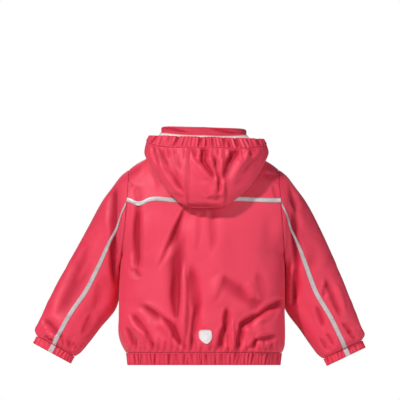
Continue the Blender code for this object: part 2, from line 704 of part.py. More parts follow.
def make_sleeve(name, side, colour):
    """Upper and under piece of one sleeve, its tape, its gathered cuff and the cuff's tape."""
    steps = np.array(SLEEVE_STEPS[::-1])
    back_seam = read(SLEEVE_SEAMS, "step", "back_seam", steps)
    under_seam = read(SLEEVE_SEAMS, "step", "underarm_seam", steps)
    radius = np.array([ring_radius(step, seam) for step, seam in zip(steps, back_seam)])
    half_tape = np.degrees(SLEEVE_TAPE_HALF / radius)
    upper_turns = []
    under_turns = []
    for seam, under, tape in zip(back_seam, under_seam, half_tape):
        rest = np.linspace(seam - 2.2 * tape, under - 360.0, UPPER_COLUMNS)
        upper_turns.append(np.concatenate(([seam, seam - tape], rest)))
        rest = np.linspace(seam + 2.2 * tape, under, UNDER_COLUMNS - 1)
        under_turns.append(np.concatenate(([seam, seam + tape], rest)))
    turns = np.concatenate([np.array(under_turns)[:, ::-1], np.array(upper_turns)[:, 1:]], axis=1)
    grid, rise = sleeve_grid(side, steps, turns)
    outward = normals_of(grid)
    share_seam(outward)
    grid = grid + outward * rise[..., None]
    below = smooth(UNDERARM + 2.0, UNDERARM - 8.0, grid[..., 2])
    nearest = body_side(grid[..., 2], grid[..., 1]) + BESIDE_BODY
    grid[..., 0] = mix(grid[..., 0], np.maximum(grid[..., 0], nearest), below)
    outward = normals_of(grid)
    share_seam(outward)
    grid[-1, :, 0] += GAP
    inner = grid - outward * CLOTH
    rim = armhole_plane(inner[-1, :, 2]) + GAP
    inner[-1, :, 0] = np.maximum(inner[-1, :, 0], rim)
    seam = UNDER_COLUMNS
    pieces = (("under", slice(0, seam + 1)), ("upper", slice(seam, None)))
    for piece, columns in pieces:
        outer_side = pull_in(grid[:, columns], "left", "right", "bottom")
        inner_side = pull_in(inner[:, columns], "left", "right", "bottom")
        side_wall("sleeve_%s_%s" % (name, piece), outer_side, inner_side, colour, side)
    taped = slice(seam - 1, seam + 2)
    tape = pull_in(grid[:, taped], "top")
    tape[0] = mix(tape[0], tape[1], TAPE_ABOVE_CUFF)
    raised = outward[:, taped]
    raised[0] = raised[1]
    side_wall("sleeve_tape_" + name, tape + raised * (LAID_ON + TAPE_WALL),
              tape + raised * LAID_ON, TAPE, side)
    make_cuff(name, side, back_seam[0], colour)


def body_side(height, y):
    """How far the body reaches sideways at a height and depth, below the underarm."""
    half_width = read(BODY_SECTIONS, "height", "half_width", height)
    depth = read(BODY_SECTIONS, "height", "front_depth", height)
    share = np.clip(np.abs(y) / depth, 0.0, 0.999)
    return half_width * (1.0 - share ** ROUNDNESS) ** (1.0 / ROUNDNESS)


def share_seam(normals):
    """The two edges of the tube meet at the underarm seam with one normal."""
    both = unit(normals[:, 0] + normals[:, -1])
    normals[:, 0] = both
    normals[:, -1] = both


def ring_radius(step, turn):
    """Distance from the sleeve's middle to its wall for a small turn there."""
    ahead = sleeve_point(step, turn + 1.0, 1)
    return np.linalg.norm(ahead - sleeve_point(step, turn - 1.0, 1)) / math.radians(2.0)


def side_wall(name, outer, inner, material, side, closed=False, sharp=SHARP):
    """A wall made for +X, or its mirror image for -X."""
    if side < 0:
        outer = mirrored(outer)[:, ::-1]
        inner = mirrored(inner)[:, ::-1]
    return wall(name, outer, inner, material, closed, sharp)


def make_cuff(name, side, tape_turn, colour):
    """Gathered elastic cuff below the sleeve, and the short tape across it."""
    count = 2 * CUFF_GATHERS
    turns = tape_turn + np.arange(count) * 360.0 / count
    turns = turns[::-1]
    top = np.array([sleeve_point(11.0, turn, side) for turn in turns])
    middle = top.mean(axis=0)
    across = np.array([0.0, 1.0, 0.0])
    chord = sleeve_point(11.0, 0.0, side) - sleeve_point(11.0, 180.0, side)
    down = unit(np.cross(chord, across))
    down = down if down[2] < 0.0 else -down
    outward = unit(top - middle - np.outer((top - middle) @ down, down))
    rise = np.where(np.arange(count) % 2 == 0, CUFF_RISE, 0.0)[:, None]
    outer = np.array([top + down * drop + outward * rise for drop in (CUFF_HEIGHT, GAP)])
    inner = outer - outward[None] * (BAND_WALL + rise[None])
    side_wall("cuff_" + name, outer, inner, colour, side, closed=True, sharp=BAND_SHARP)
    close = [(count - 1 + offset) % count for offset in (-1, 0, 1)]
    lift = outward[close][None]
    base = outer[:, close] + lift * (CUFF_RISE - rise[close][None])
    side_wall("cuff_tape_" + name, base + lift * (LAID_ON + TAPE_WALL), base + lift * LAID_ON,
              TAPE, side)


# ------------------------------------------------------------------ hem band

def make_hem_band(colour):
    """Gathered elastic round the hem."""
    count = 2 * HEM_GATHERS
    half_width = read(BODY_SECTIONS, "height", "half_width", HEM_SEAM)
    rows = []
    for height, inset in ((HEM_BOTTOM, HEM_TAPER), (HEM_SEAM - GAP, 0.0)):
        halves = []
        for facing in (-1, 1):
            depth = read(BODY_SECTIONS, "height",
                         "back_depth" if facing < 0 else "front_depth", HEM_SEAM)
            turn = np.linspace(0.0, math.pi, 721)
            x = -(half_width - inset) * np.sign(np.cos(turn)) * np.abs(np.cos(turn)) ** (
                2.0 / ROUNDNESS)
            y = facing * (depth - inset) * np.sin(turn) ** (2.0 / ROUNDNESS)
            halves.append(np.stack([x, y, np.full_like(x, height)], axis=1))
        ring = np.concatenate([halves[0], halves[1][::-1]])
        rows.append(resample(ring, count + 1)[:-1])
    base = np.array(rows)
    outward = normals_of(base, closed=True)
    outward[..., 2] = 0.0
    outward = unit(outward)
    rise = np.where(np.arange(count) % 2 == 0, HEM_RISE, 0.0)[None, :, None]
    outer = base + outward * (rise - HEM_RISE / 2.0)
    inner = base - outward * BAND_WALL
    wall("hem_band", outer, inner, colour, closed=True, sharp=BAND_SHARP)


# ------------------------------------------------------------------ collar and hood

def collar_line(turns, share):
    """Points of the collar at turns from the middle of the back, share 0 at its foot."""
    angle = np.radians(turns)
    depth = np.where(np.cos(angle) > 0.0, NECK_BACK, NECK_FRONT)
    foot_y = -depth * np.cos(angle)
    foot = np.stack([NECK_HALF_WIDTH * np.sin(angle), foot_y,
                     read(NECK_HEIGHTS, "y", "height", foot_y)], axis=1)
    around = np.abs(turns)
    top = np.stack([read(COLLAR_TOP, "turn", "half_width", around) * np.sin(angle),
                    -read(COLLAR_TOP, "turn", "depth", around) * np.cos(angle),
                    read(COLLAR_TOP, "turn", "height", around)], axis=1)
    belly = 2.0 * share * (1.0 - share)
    line = mix(foot, top, share)
    line[:, :2] += unit(line[:, :2]) * belly * 2.0
    return line


def make_collar(colour):
    """Stand-up collar, open in the middle of the front."""
    half = HOOD_BACK_TURNS + HOOD_SIDE_TURNS[1:] + COLLAR_FRONT_TURNS
    turns = np.concatenate([-np.array(half[:0:-1]), np.array(half)])
    grid = np.array([collar_line(turns, share) for share in COLLAR_ROWS])
    normals = normals_of(grid)
    wall("collar", grid, grid - normals * CLOTH, colour)


def hood_line(turn, rows):
    """One section of the hood, from its neck seam down under the bag and up to its edge."""
    around = abs(turn)
    name_of = HOOD_SECTIONS[0]
    value = {name: float(read(HOOD_SECTIONS, "turn", name, around)) for name in name_of[1:]}
    top = collar_line(np.array([turn]), 1.0)[0]
    foot = collar_line(np.array([turn]), 0.0)[0]
    share = 1.0 - HOOD_BELOW_COLLAR / (top[2] - foot[2])
    seam = collar_line(np.array([turn]), share)[0]
    seam_r = np.hypot(seam[0], seam[1]) + 0.5
    bend = value["bend"]
    low_r = value["low_r"]
    low_z = value["low_z"]
    places = [(seam_r, seam[2]),
              (mix(seam_r, value["inner_r"], 0.55), mix(seam[2], low_z, 0.22)),
              (value["inner_r"], mix(seam[2], low_z, 0.50)),
              (low_r - bend, low_z + bend * 1.1),
              (low_r, low_z),
              (low_r + bend, low_z + bend * 1.2),
              (value["belly_r"], value["belly_z"]),
              (mix(value["belly_r"], value["edge_r"], 0.45),
               mix(value["belly_z"], value["edge_z"], 0.62)),
              (value["edge_r"], value["edge_z"])]
    places = np.array(places)
    knots = np.array([0.0, 0.14, 0.28, 0.42, 0.50, 0.58, 0.76, 0.90, 1.0])
    band = (1.0 - knots[-2]) * CASING_DEEP / math.dist(places[-1], places[-2])
    casing = max(HOOD_ROWS[-1], 1.0 - band)
    rows = np.interp(rows, (0.0, 0.64, HOOD_ROWS[-1], 1.0), (0.0, 0.64, casing, 1.0))
    radius = spline(knots, places[:, 0], np.array(rows))
    height = spline(knots, places[:, 1], np.array(rows))
    angle = math.radians(turn)
    real = math.atan2(seam[0], -seam[1])
    swing = mix(real, angle, smooth(0.0, 0.35, np.array(rows)))
    shift = HOOD_SHIFT * smooth(0.05, 0.45, np.array(rows))
    return np.stack([radius * np.sin(swing) + shift, -radius * np.cos(swing), height], axis=1)


def hood_grid(turns, rows):
    """Grid with rows from the neck seam to the edge, columns by turn."""
    return np.array([hood_line(turn, rows) for turn in turns]).transpose(1, 0, 2)


def hood_folds(turns, rows):
    """Vertical drape of the outer layer under the elastic."""
    turn = np.array(turns)[None, :]
    row = np.array(rows)[:, None]
    wave = np.zeros_like(turn)
    for middle, spread, rise in zip(column(HOOD_FOLDS, "turn"), column(HOOD_FOLDS, "spread"),
                                    column(HOOD_FOLDS, "rise")):
        wave = wave + rise * np.exp(-((turn - middle) / spread) ** 2)
    return wave * smooth(0.58, 0.70, row) * (1.0 - smooth(0.93, 1.0, row) * 0.5)


def make_hood(colour):
    """Three-panel hood with its gathered edge, hanging open down the back."""
    side = list(HOOD_SIDE_TURNS)
    centre = [-turn for turn in HOOD_BACK_TURNS[:0:-1]] + list(HOOD_BACK_TURNS)
    turns = [-turn for turn in side[:0:-1]] + centre + side[1:]
    rows = list(HOOD_ROWS) + [1.0]
    grid = hood_grid(turns, rows)
    grid = grid + normals_of(grid) * hood_folds(turns, rows)[..., None]
    outward = normals_of(grid)
    inner = grid - outward * CLOTH
    first = len(side) - 1
    last = first + len(centre) - 1
    panels = (("hood_left", slice(0, first + 1), ("right",)),
              ("hood_centre", slice(first, last + 1), ("left", "right")),
              ("hood_right", slice(last, None), ("left",)))
    for name, columns, edges in panels:
        outer_side = pull_in(grid[:-1, columns], *edges)
        inner_side = pull_in(inner[:-1, columns], *edges)
        wall(name, outer_side, inner_side, colour)
    make_casing(turns, grid[-2], colour)
    lined =[place for place, turn in enumerate(turns) if abs(turn) <= LINING_TURN]
    rows_lined = [place for place, row in enumerate(rows) if row <= LINING_DEPTH]
    patch = np.ix_(rows_lined, lined)
    near = inner[patch] - outward[patch] * LAID_ON
    wall("hood_lining", near, near - outward[patch] * LINING_WALL, LINING)


def make_casing(hood_turns, seam, colour):
    """Gathered elastic along the free edge of the hood, from the panels' upper seam."""
    count = 2 * CASING_GATHERS
    gathered = np.linspace(-CASING_END, CASING_END, count + 1)
    plain = np.array(CASING_PLAIN_TURNS)
    turns = np.concatenate([-plain[::-1], gathered, plain])
    rows = (HOOD_ROWS[-2], HOOD_ROWS[-1], 1.0)
    grid = hood_grid(turns, rows)
    grid = grid + normals_of(grid) * hood_folds(turns, rows)[..., None]
    for axis in range(3):
        grid[1, :, axis] = np.interp(turns, hood_turns, seam[:, axis])
    grid[1] += unit(grid[2] - grid[1]) * CASING_GAP
    outward = normals_of(grid)
    rise = np.zeros(len(turns))
    rise[len(plain) + 1:-len(plain):2] = CASING_RISE
    outer = (grid + outward * rise[None, :, None])[1:]
    inner = (grid - outward * BAND_WALL)[1:]
    wall("hood_casing", outer, inner, colour, sharp=BAND_SHARP)


# ------------------------------------------------------------------ front fastening

def make_placket(left, right, colour):
    """The overlapping strip down the middle of the front, and its press studs."""
    left_grid, left_normals = left
    right_grid, right_normals = right
    grid = np.stack([right_grid[:, 1], right_grid[:, 0], left_grid[:, 1]], axis=1)
    normals = np.stack([right_normals[:, 1], right_normals[:, 0], left_normals[:, 1]], axis=1)
    strip("front_placket", grid, normals, colour, CLOTH)
    for number, height in enumerate(STUD_HEIGHTS, start=1):
        make_stud(number, height, grid)


def make_stud(number, height, grid):
    """A round cap standing on the placket, square to it."""
    middle = grid[:, 1]
    below, place, above = [
        np.array([np.interp(level, middle[:, 2], middle[:, axis]) for axis in range(3)])
        for level in (height - STUD_RADIUS, height, height + STUD_RADIUS)]
    up = unit(above - below)
    out = unit(np.cross(np.array([-1.0, 0.0, 0.0]), up))
    out = out if out[1] > 0.0 else -out
    centre = place + out * (LAID_ON + CLOTH + STUD_GAP + STUD_HEIGHT / 2.0)
    centre = settle(centre[None])[0]
    bpy.ops.mesh.primitive_cylinder_add(vertices=16, radius=STUD_RADIUS * MM,
                                        depth=STUD_HEIGHT * MM, location=tuple(centre * MM))
    stud = bpy.context.object
    stud.name = "stud_%d" % number
    stud.data.name = stud.name
    tilt = math.atan2(out[2], out[1])
    stud.rotation_euler = (math.radians(-90.0) + tilt, 0.0, 0.0)
    bevel = stud.modifiers.new("rounded edge", "BEVEL")
    bevel.width = STUD_EDGE * MM
    bevel.segments = 1
    bevel.limit_method = "ANGLE"
    stud.data.materials.append(STUD)
    for collection in stud.users_collection:
        collection.objects.unlink(stud)
    JACKET.objects.link(stud)
    stud.data.shade_smooth()


# ------------------------------------------------------------------ scene

def clear_scene():
    for old in list(bpy.data.objects):
        bpy.data.objects.remove(old, do_unlink=True)


def material(name, colour, roughness, metallic=0.0):
    made = bpy.data.materials.new(name)
    made.use_nodes = True
    shader = made.node_tree.nodes["Principled BSDF"]
    shader.inputs["Base Color"].default_value = (*colour, 1.0)
    shader.inputs["Roughness"].default_value = roughness
    shader.inputs["Metallic"].default_value = metallic
    return made


clear_scene()
JACKET = bpy.data.collections.new("kids_rain_jacket")
bpy.context.scene.collection.children.link(JACKET)
CORAL = material("coral_coated_cloth", (0.80, 0.065, 0.105), 0.42)
BAND = material("coral_gathered_cloth", (0.74, 0.055, 0.09), 0.46)
LINING = material("pale_lining", (0.86, 0.78, 0.76), 0.85)
TAPE = material("reflective_tape", (0.62, 0.62, 0.60), 0.35, 0.3)
BADGE = material("silver_badge", (0.70, 0.70, 0.69), 0.40, 0.2)
STUD = material("stud_cap", (0.70, 0.06, 0.09), 0.30)

make_back(CORAL)
RIGHT = make_front("front_right", 1, CORAL)
LEFT = make_front("front_left", -1, CORAL)
make_placket(LEFT, RIGHT, CORAL)
make_sleeve("right", 1, CORAL)
make_sleeve("left", -1, CORAL)
make_hem_band(BAND)
make_collar(CORAL)
make_hood(CORAL)
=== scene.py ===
"""Kids rain jacket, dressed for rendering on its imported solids: fine cloth with creases and
gathers, seams with stitching, tapes, studs, materials, light and camera. Metres throughout."""
import math

import bpy
import numpy as np
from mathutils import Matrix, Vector


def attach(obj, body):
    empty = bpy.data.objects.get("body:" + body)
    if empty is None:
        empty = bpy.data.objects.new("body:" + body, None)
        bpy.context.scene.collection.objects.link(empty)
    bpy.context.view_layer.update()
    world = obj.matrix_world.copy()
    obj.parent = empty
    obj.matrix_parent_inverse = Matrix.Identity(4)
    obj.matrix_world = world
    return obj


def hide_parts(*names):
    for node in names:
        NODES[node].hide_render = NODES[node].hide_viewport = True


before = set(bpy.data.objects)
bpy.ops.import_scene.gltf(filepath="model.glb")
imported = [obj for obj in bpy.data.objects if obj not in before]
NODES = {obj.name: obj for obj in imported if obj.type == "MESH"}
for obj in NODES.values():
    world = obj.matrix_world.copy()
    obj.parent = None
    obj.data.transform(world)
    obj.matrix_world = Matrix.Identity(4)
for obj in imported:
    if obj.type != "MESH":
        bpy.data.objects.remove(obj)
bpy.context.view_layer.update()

MM = 0.001
CELL = 2.5                  # size of a cell of the fine cloth, in millimetres
WRAP = 6                    # columns repeated at both ends of a ring for its splines
EDGE = np.array([0.0, 0.45, 1.1]) * MM      # lines near an edge, where it is rounded
RIM = EDGE[-1]
LAP = 0.12 * MM             # each piece's edge reaches this far into its seam's gap
ROUNDING = 0.42             # share of the wall that each side gives up at its very edge


# ---- small maths

def smooth(low, high, value):
    """0 below low, 1 above high, and a soft step between."""
    share = np.clip((value - low) / (high - low), 0.0, 1.0)
    return share * share * (3.0 - 2.0 * share)


def unit(vectors):
    return vectors / np.maximum(np.linalg.norm(vectors, axis=-1, keepdims=True), 1e-12)


def spline_weights(knots, at):
    """Weights that give a natural cubic spline through values at the knots."""
    count = len(knots)
    gap = np.diff(knots)
    left, right = np.eye(count), np.zeros((count, count))
    for k in range(1, count - 1):
        left[k, k - 1:k + 2] = gap[k - 1], 2.0 * (gap[k - 1] + gap[k]), gap[k]
        right[k, k - 1:k + 2] = (6.0 / gap[k - 1], -6.0 / gap[k - 1] - 6.0 / gap[k],
                                 6.0 / gap[k])
    bend = np.linalg.solve(left, right)
    k = np.clip(np.searchsorted(knots, at, side="right") - 1, 0, count - 2)
    step = gap[k]
    b = (at - knots[k]) / step
    a = 1.0 - b
    weights = np.zeros((len(at), count))
    rows = np.arange(len(at))
    weights[rows, k] += a
    weights[rows, k + 1] += b
    weights += ((a ** 3 - a) * step ** 2 / 6.0)[:, None] * bend[k]
    weights += ((b ** 3 - b) * step ** 2 / 6.0)[:, None] * bend[k + 1]
    return weights


def run_of(line):
    """How far along a line each of its points lies."""
    return np.concatenate([[0.0], np.cumsum(np.linalg.norm(np.diff(line, axis=0), axis=1))])


def read(values, run, where):
    """Values at places along a run."""
    return np.stack([np.interp(where, run, part) for part in values.T], axis=1)


def softened(points, axis, turns, closed=True):
    """Points drawn towards their neighbours; the ends of what isn't closed stay."""
    for _ in range(turns):
        soft = (np.roll(points, 1, axis) + 2.0 * points + np.roll(points, -1, axis)) / 4.0
        if not closed:
            soft[:, [0, -1]] = points[:, [0, -1]]
        points = soft
    return points


def normals_of(grid):
    """Unit normals of a grid whose rows run up and columns run right, seen from outside."""
    along = np.gradient(grid, axis=1)
    up = np.gradient(grid, axis=0)
    return unit(np.cross(along, up))


# ---- the solids' own grids

def welded(name):
    """Points and triangles of a CAD node, with coinciding points joined."""
    mesh = NODES[name].data
    points = np.empty(len(mesh.vertices) * 3)
    mesh.vertices.foreach_get("co", points)
    points = points.reshape(-1, 3)
    corners = np.empty(len(mesh.loops), np.int32)
    mesh.loops.foreach_get("vertex_index", corners)
    keys = np.round(points * 1e7).astype(np.int64)
    _, first, index = np.unique(keys, axis=0, return_index=True, return_inverse=True)
    return points[first], index.reshape(-1)[corners].reshape(-1, 3)


def edge_key(a, b):
    return (a, b) if a < b else (b, a)


def flood(seed, value, beyond):
    """Values that spread from a seed; beyond gives a member's neighbours and their values."""
    found, stack = {seed: value}, [seed]
    while stack:
        member = stack.pop()
        for other, value in beyond(member, found[member]):
            if other not in found:
                found[other] = value
                stack.append(other)
    return found


def layer_grid(points, faces, members, edges):
    """Point numbers of one layer of triangles as a grid. Each cell is split along the same
    diagonal, so the right-angled corner of one triangle gives its neighbours'."""
    def across(t, a, b):
        return [n for n in edges[edge_key(a, b)] if n != t and n in members]

    def corners_beyond(t, k):
        for j in range(3):
            a, b = faces[t][j], faces[t][(j + 1) % 3]
            for other in across(t, a, b):
                if j == (k + 1) % 3:
                    at = next(v for v in faces[other] if v not in (a, b))
                else:
                    at = b if a == faces[t][k] else a
                yield other, faces[other].index(at)

    def skew(corner):
        loose = sum(not across(t, faces[t][(k + 1) % 3], faces[t][(k + 2) % 3])
                    for t, k in corner.items())
        ring = np.array([np.roll(faces[t], -k) for t, k in corner.items()])
        arms = unit(points[ring[:, 1:]] - points[ring[:, :1]])
        return loose * 10.0 + np.abs((arms[:, 0] * arms[:, 1]).sum(axis=1)).mean()

    corner = min((flood(min(members), k, corners_beyond) for k in range(3)), key=skew)
    quads, sides = {}, {}
    for t, k in corner.items():
        b, c, a = (faces[t][(k + n) % 3] for n in range(3))
        other = across(t, c, a)
        if other and other[0] > t:
            quads[t] = (a, b, c, faces[other[0]][corner[other[0]]])
            for n in range(4):
                sides[(quads[t][n], quads[t][(n + 1) % 4])] = (t, n)

    def quads_beyond(t, place):
        row, column, half = place
        quad = quads[t][half:] + quads[t][:half]
        for n, (up, along) in enumerate(((-1, 0), (0, 1), (1, 0), (0, -1))):
            if (quad[(n + 1) % 4], quad[n]) in sides:
                other, turn = sides[(quad[(n + 1) % 4], quad[n])]
                yield other, (row + up, column + along, 2 if turn == n else 0)

    cell = {}
    for t, (row, column, half) in flood(min(quads), (0, 0, 0), quads_beyond).items():
        quad = quads[t][half:] + quads[t][:half]
        for (up, along), point in zip(((0, 0), (0, 1), (1, 1), (1, 0)), quad):
            cell[(row + up, column + along)] = point
    low = np.min(list(cell), axis=0)
    grid = np.zeros(np.max(list(cell), axis=0) - low + 1, int)
    for place, point in cell.items():
        grid[tuple(place - low)] = point
    return grid


def grids(name, twin, facing):
    """Outer and inner grid of a CAD wall, with rows that run up. Twins are the edges from one
    layer to the other; the outer layer faces the given way, or away from the neck's axis."""
    points, faces = welded(name)
    faces = [tuple(face) for face in faces.tolist()]
    edges = {}
    for t, face in enumerate(faces):
        for k in range(3):
            edges.setdefault(edge_key(face[k], face[(k + 1) % 3]), []).append(t)
    twins = {edge for edge in edges if twin(points[edge[0]], points[edge[1]])}
    left = set(range(len(faces))) - {t for edge in twins for t in edges[edge]}

    def triangles_beyond(t, _):
        for k in range(3):
            for n in edges[edge_key(faces[t][k], faces[t][(k + 1) % 3])]:
                if n in left:
                    yield n, None

    layers = []
    while left:
        layers.append(set(flood(min(left), None, triangles_beyond)))
        left -= layers[-1]
    layers = sorted(layers, key=len)[-2:]

    def outwards(members):
        a, b, c = points[np.array([faces[t] for t in members])].transpose(1, 0, 2)
        way = (a + b + c) * (1.0, 1.0, 0.0) if facing is None else facing
        return (np.cross(b - a, c - a) * way).sum()

    layers.sort(key=outwards)
    inner = layer_grid(points, faces, layers[0], edges)
    outer = layer_grid(points, faces, layers[1], edges)
    if points[outer[-1], 2].mean() < points[outer[0], 2].mean():
        outer = outer[::-1, ::-1]
    count = outer.shape[1]

    def turned_inner():
        """The inner grid in each way that it may lie behind the outer one."""
        for flip in range(8):
            trial = inner.T if flip & 1 else inner
            trial = trial[::-1] if flip & 2 else trial
            trial = trial[:, ::-1] if flip & 4 else trial
            if trial.shape == outer.shape:
                yield trial
                for shift in range(1, count - 1) if outer[0, 0] == outer[0, -1] else ():
                    yield trial[:, (np.arange(count) - shift) % (count - 1)]

    def met(trial):
        return sum(edge_key(trial[r, k], outer[r, k]) in twins for r in (0, -1)
                   for k in range(count))

    return points[outer], points[max(turned_inner(), key=met)]


def twin_length(low, high):
    """Tells a wall's twin edges by their length, in millimetres."""
    def test(a, b):
        return low * MM < np.linalg.norm(a - b) < high * MM
    return test


def twin_across(high, centre=(0.0, 0.0, 0.0), axis=(0.0, 0.0, 1.0)):
    """Tells a ring's twin edges by their direction, which isn't round the ring's axis."""
    def test(a, b):
        reach = np.linalg.norm(b - a)
        if reach > high * MM:
            return False
        round_it = unit(np.cross(axis, (a + b) / 2.0 - centre))
        return abs(np.dot((b - a) / reach, round_it)) < 0.62
    return test


def ring_axis(name):
    """The middle of a ring, and the way through it."""
    points, _ = welded(name)
    centre = points.mean(axis=0)
    return centre, np.linalg.svd(points - centre)[2][2]


# ---- fine cloth

def stations(length, cell):
    """Places along a length, closer together at both ends."""
    count = max(2, int(round((length - 2.0 * RIM) / cell)) + 1)
    middle = np.linspace(RIM, length - RIM, count)
    return np.concatenate([EDGE[:-1], middle, length - EDGE[-2::-1]])


def between(places, at, *sheets):
    """The line of each grid at a place that lies between two of its rows."""
    k = np.clip(np.searchsorted(places, at) - 1, 0, len(places) - 2)
    share = (at - places[k]) / (places[k + 1] - places[k])
    return [grid[k] * (1.0 - share) + grid[k + 1] * share for grid in sheets]


def knots_of(grid, axis):
    run = np.linalg.norm(np.diff(grid, axis=axis), axis=2).mean(axis=1 - axis)
    return np.concatenate([[0.0], np.cumsum(run)])


class Cloth:
    """A fine sheet over a CAD wall: outer and inner points, with places across and up. Its
    cells are given in millimetres."""

    def __init__(self, name, twin, facing=None, cell=CELL, closed=False, across_cell=None,
                 stray=0.0, lap=LAP):
        self.name = name
        self.closed = closed
        outer, inner = grids(name, twin, facing)
        if closed:
            outer, inner = (np.concatenate([grid[:, -WRAP - 1:-1], grid[:, :-1], grid[:, :WRAP]],
                                           axis=1) for grid in (outer, inner))
        across, height = knots_of(outer, 1), knots_of(outer, 0)
        start, end = (across[WRAP], across[-WRAP]) if closed else (0.0, across[-1])
        self.width = end - start
        if closed:
            count = int(round(self.width / ((across_cell or cell) * MM)))
            self.u = np.linspace(start, end, count + 1)[:-1]
        else:
            self.u = stations(end, (across_cell or cell) * MM)
        self.v = stations(height[-1], cell * MM)
        turn = 2.0 * math.pi * (self.u - self.u[0]) / self.width
        swing = np.sin(9.0 * turn) + 0.8 * np.sin(23.0 * turn + 1.3) + 0.7 * np.sin(
            41.0 * turn + 0.4)
        swing *= stray * MM * np.minimum(1.0, 12.0 * (1.0 - np.abs(turn / math.pi - 1.0)))
        wide, high = spline_weights(across, self.u + swing), spline_weights(height, self.v)
        self.outer = np.einsum("ri,ijk,cj->rck", high, outer, wide)
        self.inner = np.einsum("ri,ijk,cj->rck", high, inner, wide)
        for grid in (self.outer, self.inner):
            for rows in (grid,) if closed else (grid, grid.transpose(1, 0, 2)):
                rows[0] += unit(rows[0] - rows[2]) * lap
                rows[-1] += unit(rows[-1] - rows[-3]) * lap
        self.u = self.u - self.u[0]
        self.height = height[-1]
        self.depth = np.zeros(self.outer.shape[:2])
        self.rest = None
        self.measure()

    def measure(self):
        if self.closed:
            wrapped = np.concatenate([self.outer[:, -2:], self.outer, self.outer[:, :2]], axis=1)
            self.normals = normals_of(wrapped)[:, 2:-2]
        else:
            self.normals = normals_of(self.outer)

    def shift(self, away):
        self.outer, self.inner = self.outer + away, self.inner + away

    def push(self, rise):
        """Move the cloth along its normals, both sides together."""
        self.rest = self.outer
        self.shift(self.normals * rise[..., None])
        self.depth = self.depth + rise

    def follow(self, cloths):
        """Move as the nearest cloth under this piece has moved."""
        rest = np.concatenate([cloth.rest.reshape(-1, 3) for cloth in cloths])
        moved = np.concatenate([(cloth.outer - cloth.rest).reshape(-1, 3) for cloth in cloths])
        carried = np.empty_like(self.outer)
        for place in np.ndindex(*self.outer.shape[:2]):
            away = ((rest - self.outer[place]) ** 2).sum(axis=1)
            near = np.argpartition(away, 6)[:6]
            weight = 1.0 / (away[near] + 2e-7)
            carried[place] = weight @ moved[near] / weight.sum()
        carried = carried * pinned(self, "foot", "head", reach=9.0)[..., None]
        self.shift(carried + self.normals * 0.25 * MM)

    def eased(self, share, turns=60):
        """Smooth the cloth where the share is above 0, and leave its edges as they are."""
        for _ in range(turns):
            for grid in (self.outer, self.inner):
                mean = (grid[:-2, 1:-1] + grid[2:, 1:-1] + grid[1:-1, :-2] + grid[1:-1, 2:]) / 4.0
                grid[1:-1, 1:-1] += (mean - grid[1:-1, 1:-1]) * share[1:-1, 1:-1, None]
        self.measure()

    def edge_distance(self):
        v = np.minimum(self.v, self.height - self.v)[:, None]
        if self.closed:
            return v * np.ones(self.outer.shape[1])
        return np.minimum(v, np.minimum(self.u, self.width - self.u)[None, :])

    def row(self, at):
        """A line across the cloth at a height, with its normals; below 0 is from the top."""
        points, normals = between(self.v, at % self.height, self.outer, self.normals)
        if self.closed:
            points, normals = (np.concatenate([line, line[:1]]) for line in (points, normals))
        return points, unit(normals)

    def column(self, at):
        """A line up the cloth at a place across, with its normals; below 0 is from the end."""
        points, normals = between(self.u, at % self.width, self.outer.transpose(1, 0, 2),
                                  self.normals.transpose(1, 0, 2))
        return points, unit(normals)

    def build(self, material, held="hung", deepest=6.0):
        """Round the edges towards the middle of the wall, make the piece, and hide the CAD node
        it stands for. Folds as deep as the deepest get the darkest painted shade."""
        self.measure()
        near = np.clip(1.0 - self.edge_distance() / RIM, 0.0, 1.0)
        drop = ROUNDING * (1.0 - np.sqrt(np.maximum(0.0, 1.0 - near ** 2)))
        run = (self.inner - self.outer) * drop[..., None]
        self.outer, self.inner = self.outer + run, self.inner - run
        piece = add_shell(self.name + "_cloth", self.outer, self.inner, self.closed, material)
        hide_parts(self.name)
        marked(piece, "seam", np.exp(-(self.edge_distance() / (2.2 * MM)) ** 2))
        # Painted shade: how deep each point lies in a fold, which the material turns into darker
        # colour
        marked(piece, "fold", np.clip(-self.depth / (deepest * MM), -1.0, 1.0))
        long = max(line_length(line, False) for line in self.outer.transpose(1, 0, 2))
        return piece


def marked(piece, label, values):
    """Give both sides of a cloth a number at each point, which its material reads."""
    layer = piece.data.attributes.new(label, "FLOAT", "POINT")
    layer.data.foreach_set("value", np.tile(values.reshape(-1), 2).astype(np.float32))


def line_length(points, closed):
    return float(run_of(points)[-1] + closed * np.linalg.norm(points[-1] - points[0]))


def numbered(rows, columns, closed):
    """Point numbers of a grid. A closed one ends with its first column again."""
    ids = np.arange(rows * columns).reshape(rows, columns)
    return np.concatenate([ids, ids[:, :1]], axis=1) if closed else ids


def strip(one, two):
    """Faces between two lines of point numbers, or between each two of many."""
    return np.stack([one[..., :-1], one[..., 1:], two[..., 1:], two[..., :-1]],
                    axis=-1).reshape(-1, 4)


def add_shell(name, outer, inner, closed, material):
    """A piece that is a closed wall between two grids, joined along their edges."""
    ids, half = numbered(*outer.shape[:2], closed), outer[..., 0].size
    sheet = strip(ids[:-1], ids[1:])
    quads = [sheet, sheet[:, [0, 3, 2, 1]] + half, strip(ids[0] + half, ids[0]),
             strip(ids[-1], ids[-1] + half)]
    if not closed:
        quads += [strip(ids[:, 0], ids[:, 0] + half), strip(ids[:, -1] + half, ids[:, -1])]
    points = np.concatenate([outer.reshape(-1, 3), inner.reshape(-1, 3)])
    return add_mesh(name, points, np.concatenate(quads).tolist(), material, slot_of(material))


def inside_edge(cloth, side):
    """An edge of the cloth's inner face: points, the way into the cloth and the way off it."""
    outer, inner = cloth.outer, cloth.inner
    if side in ("start", "end"):
        outer, inner = outer.transpose(1, 0, 2), inner.transpose(1, 0, 2)
    if side in ("head", "end"):
        outer, inner = outer[::-1], inner[::-1]
    return inner[0], unit(inner[3] - inner[0]), unit(inner[0] - outer[0])


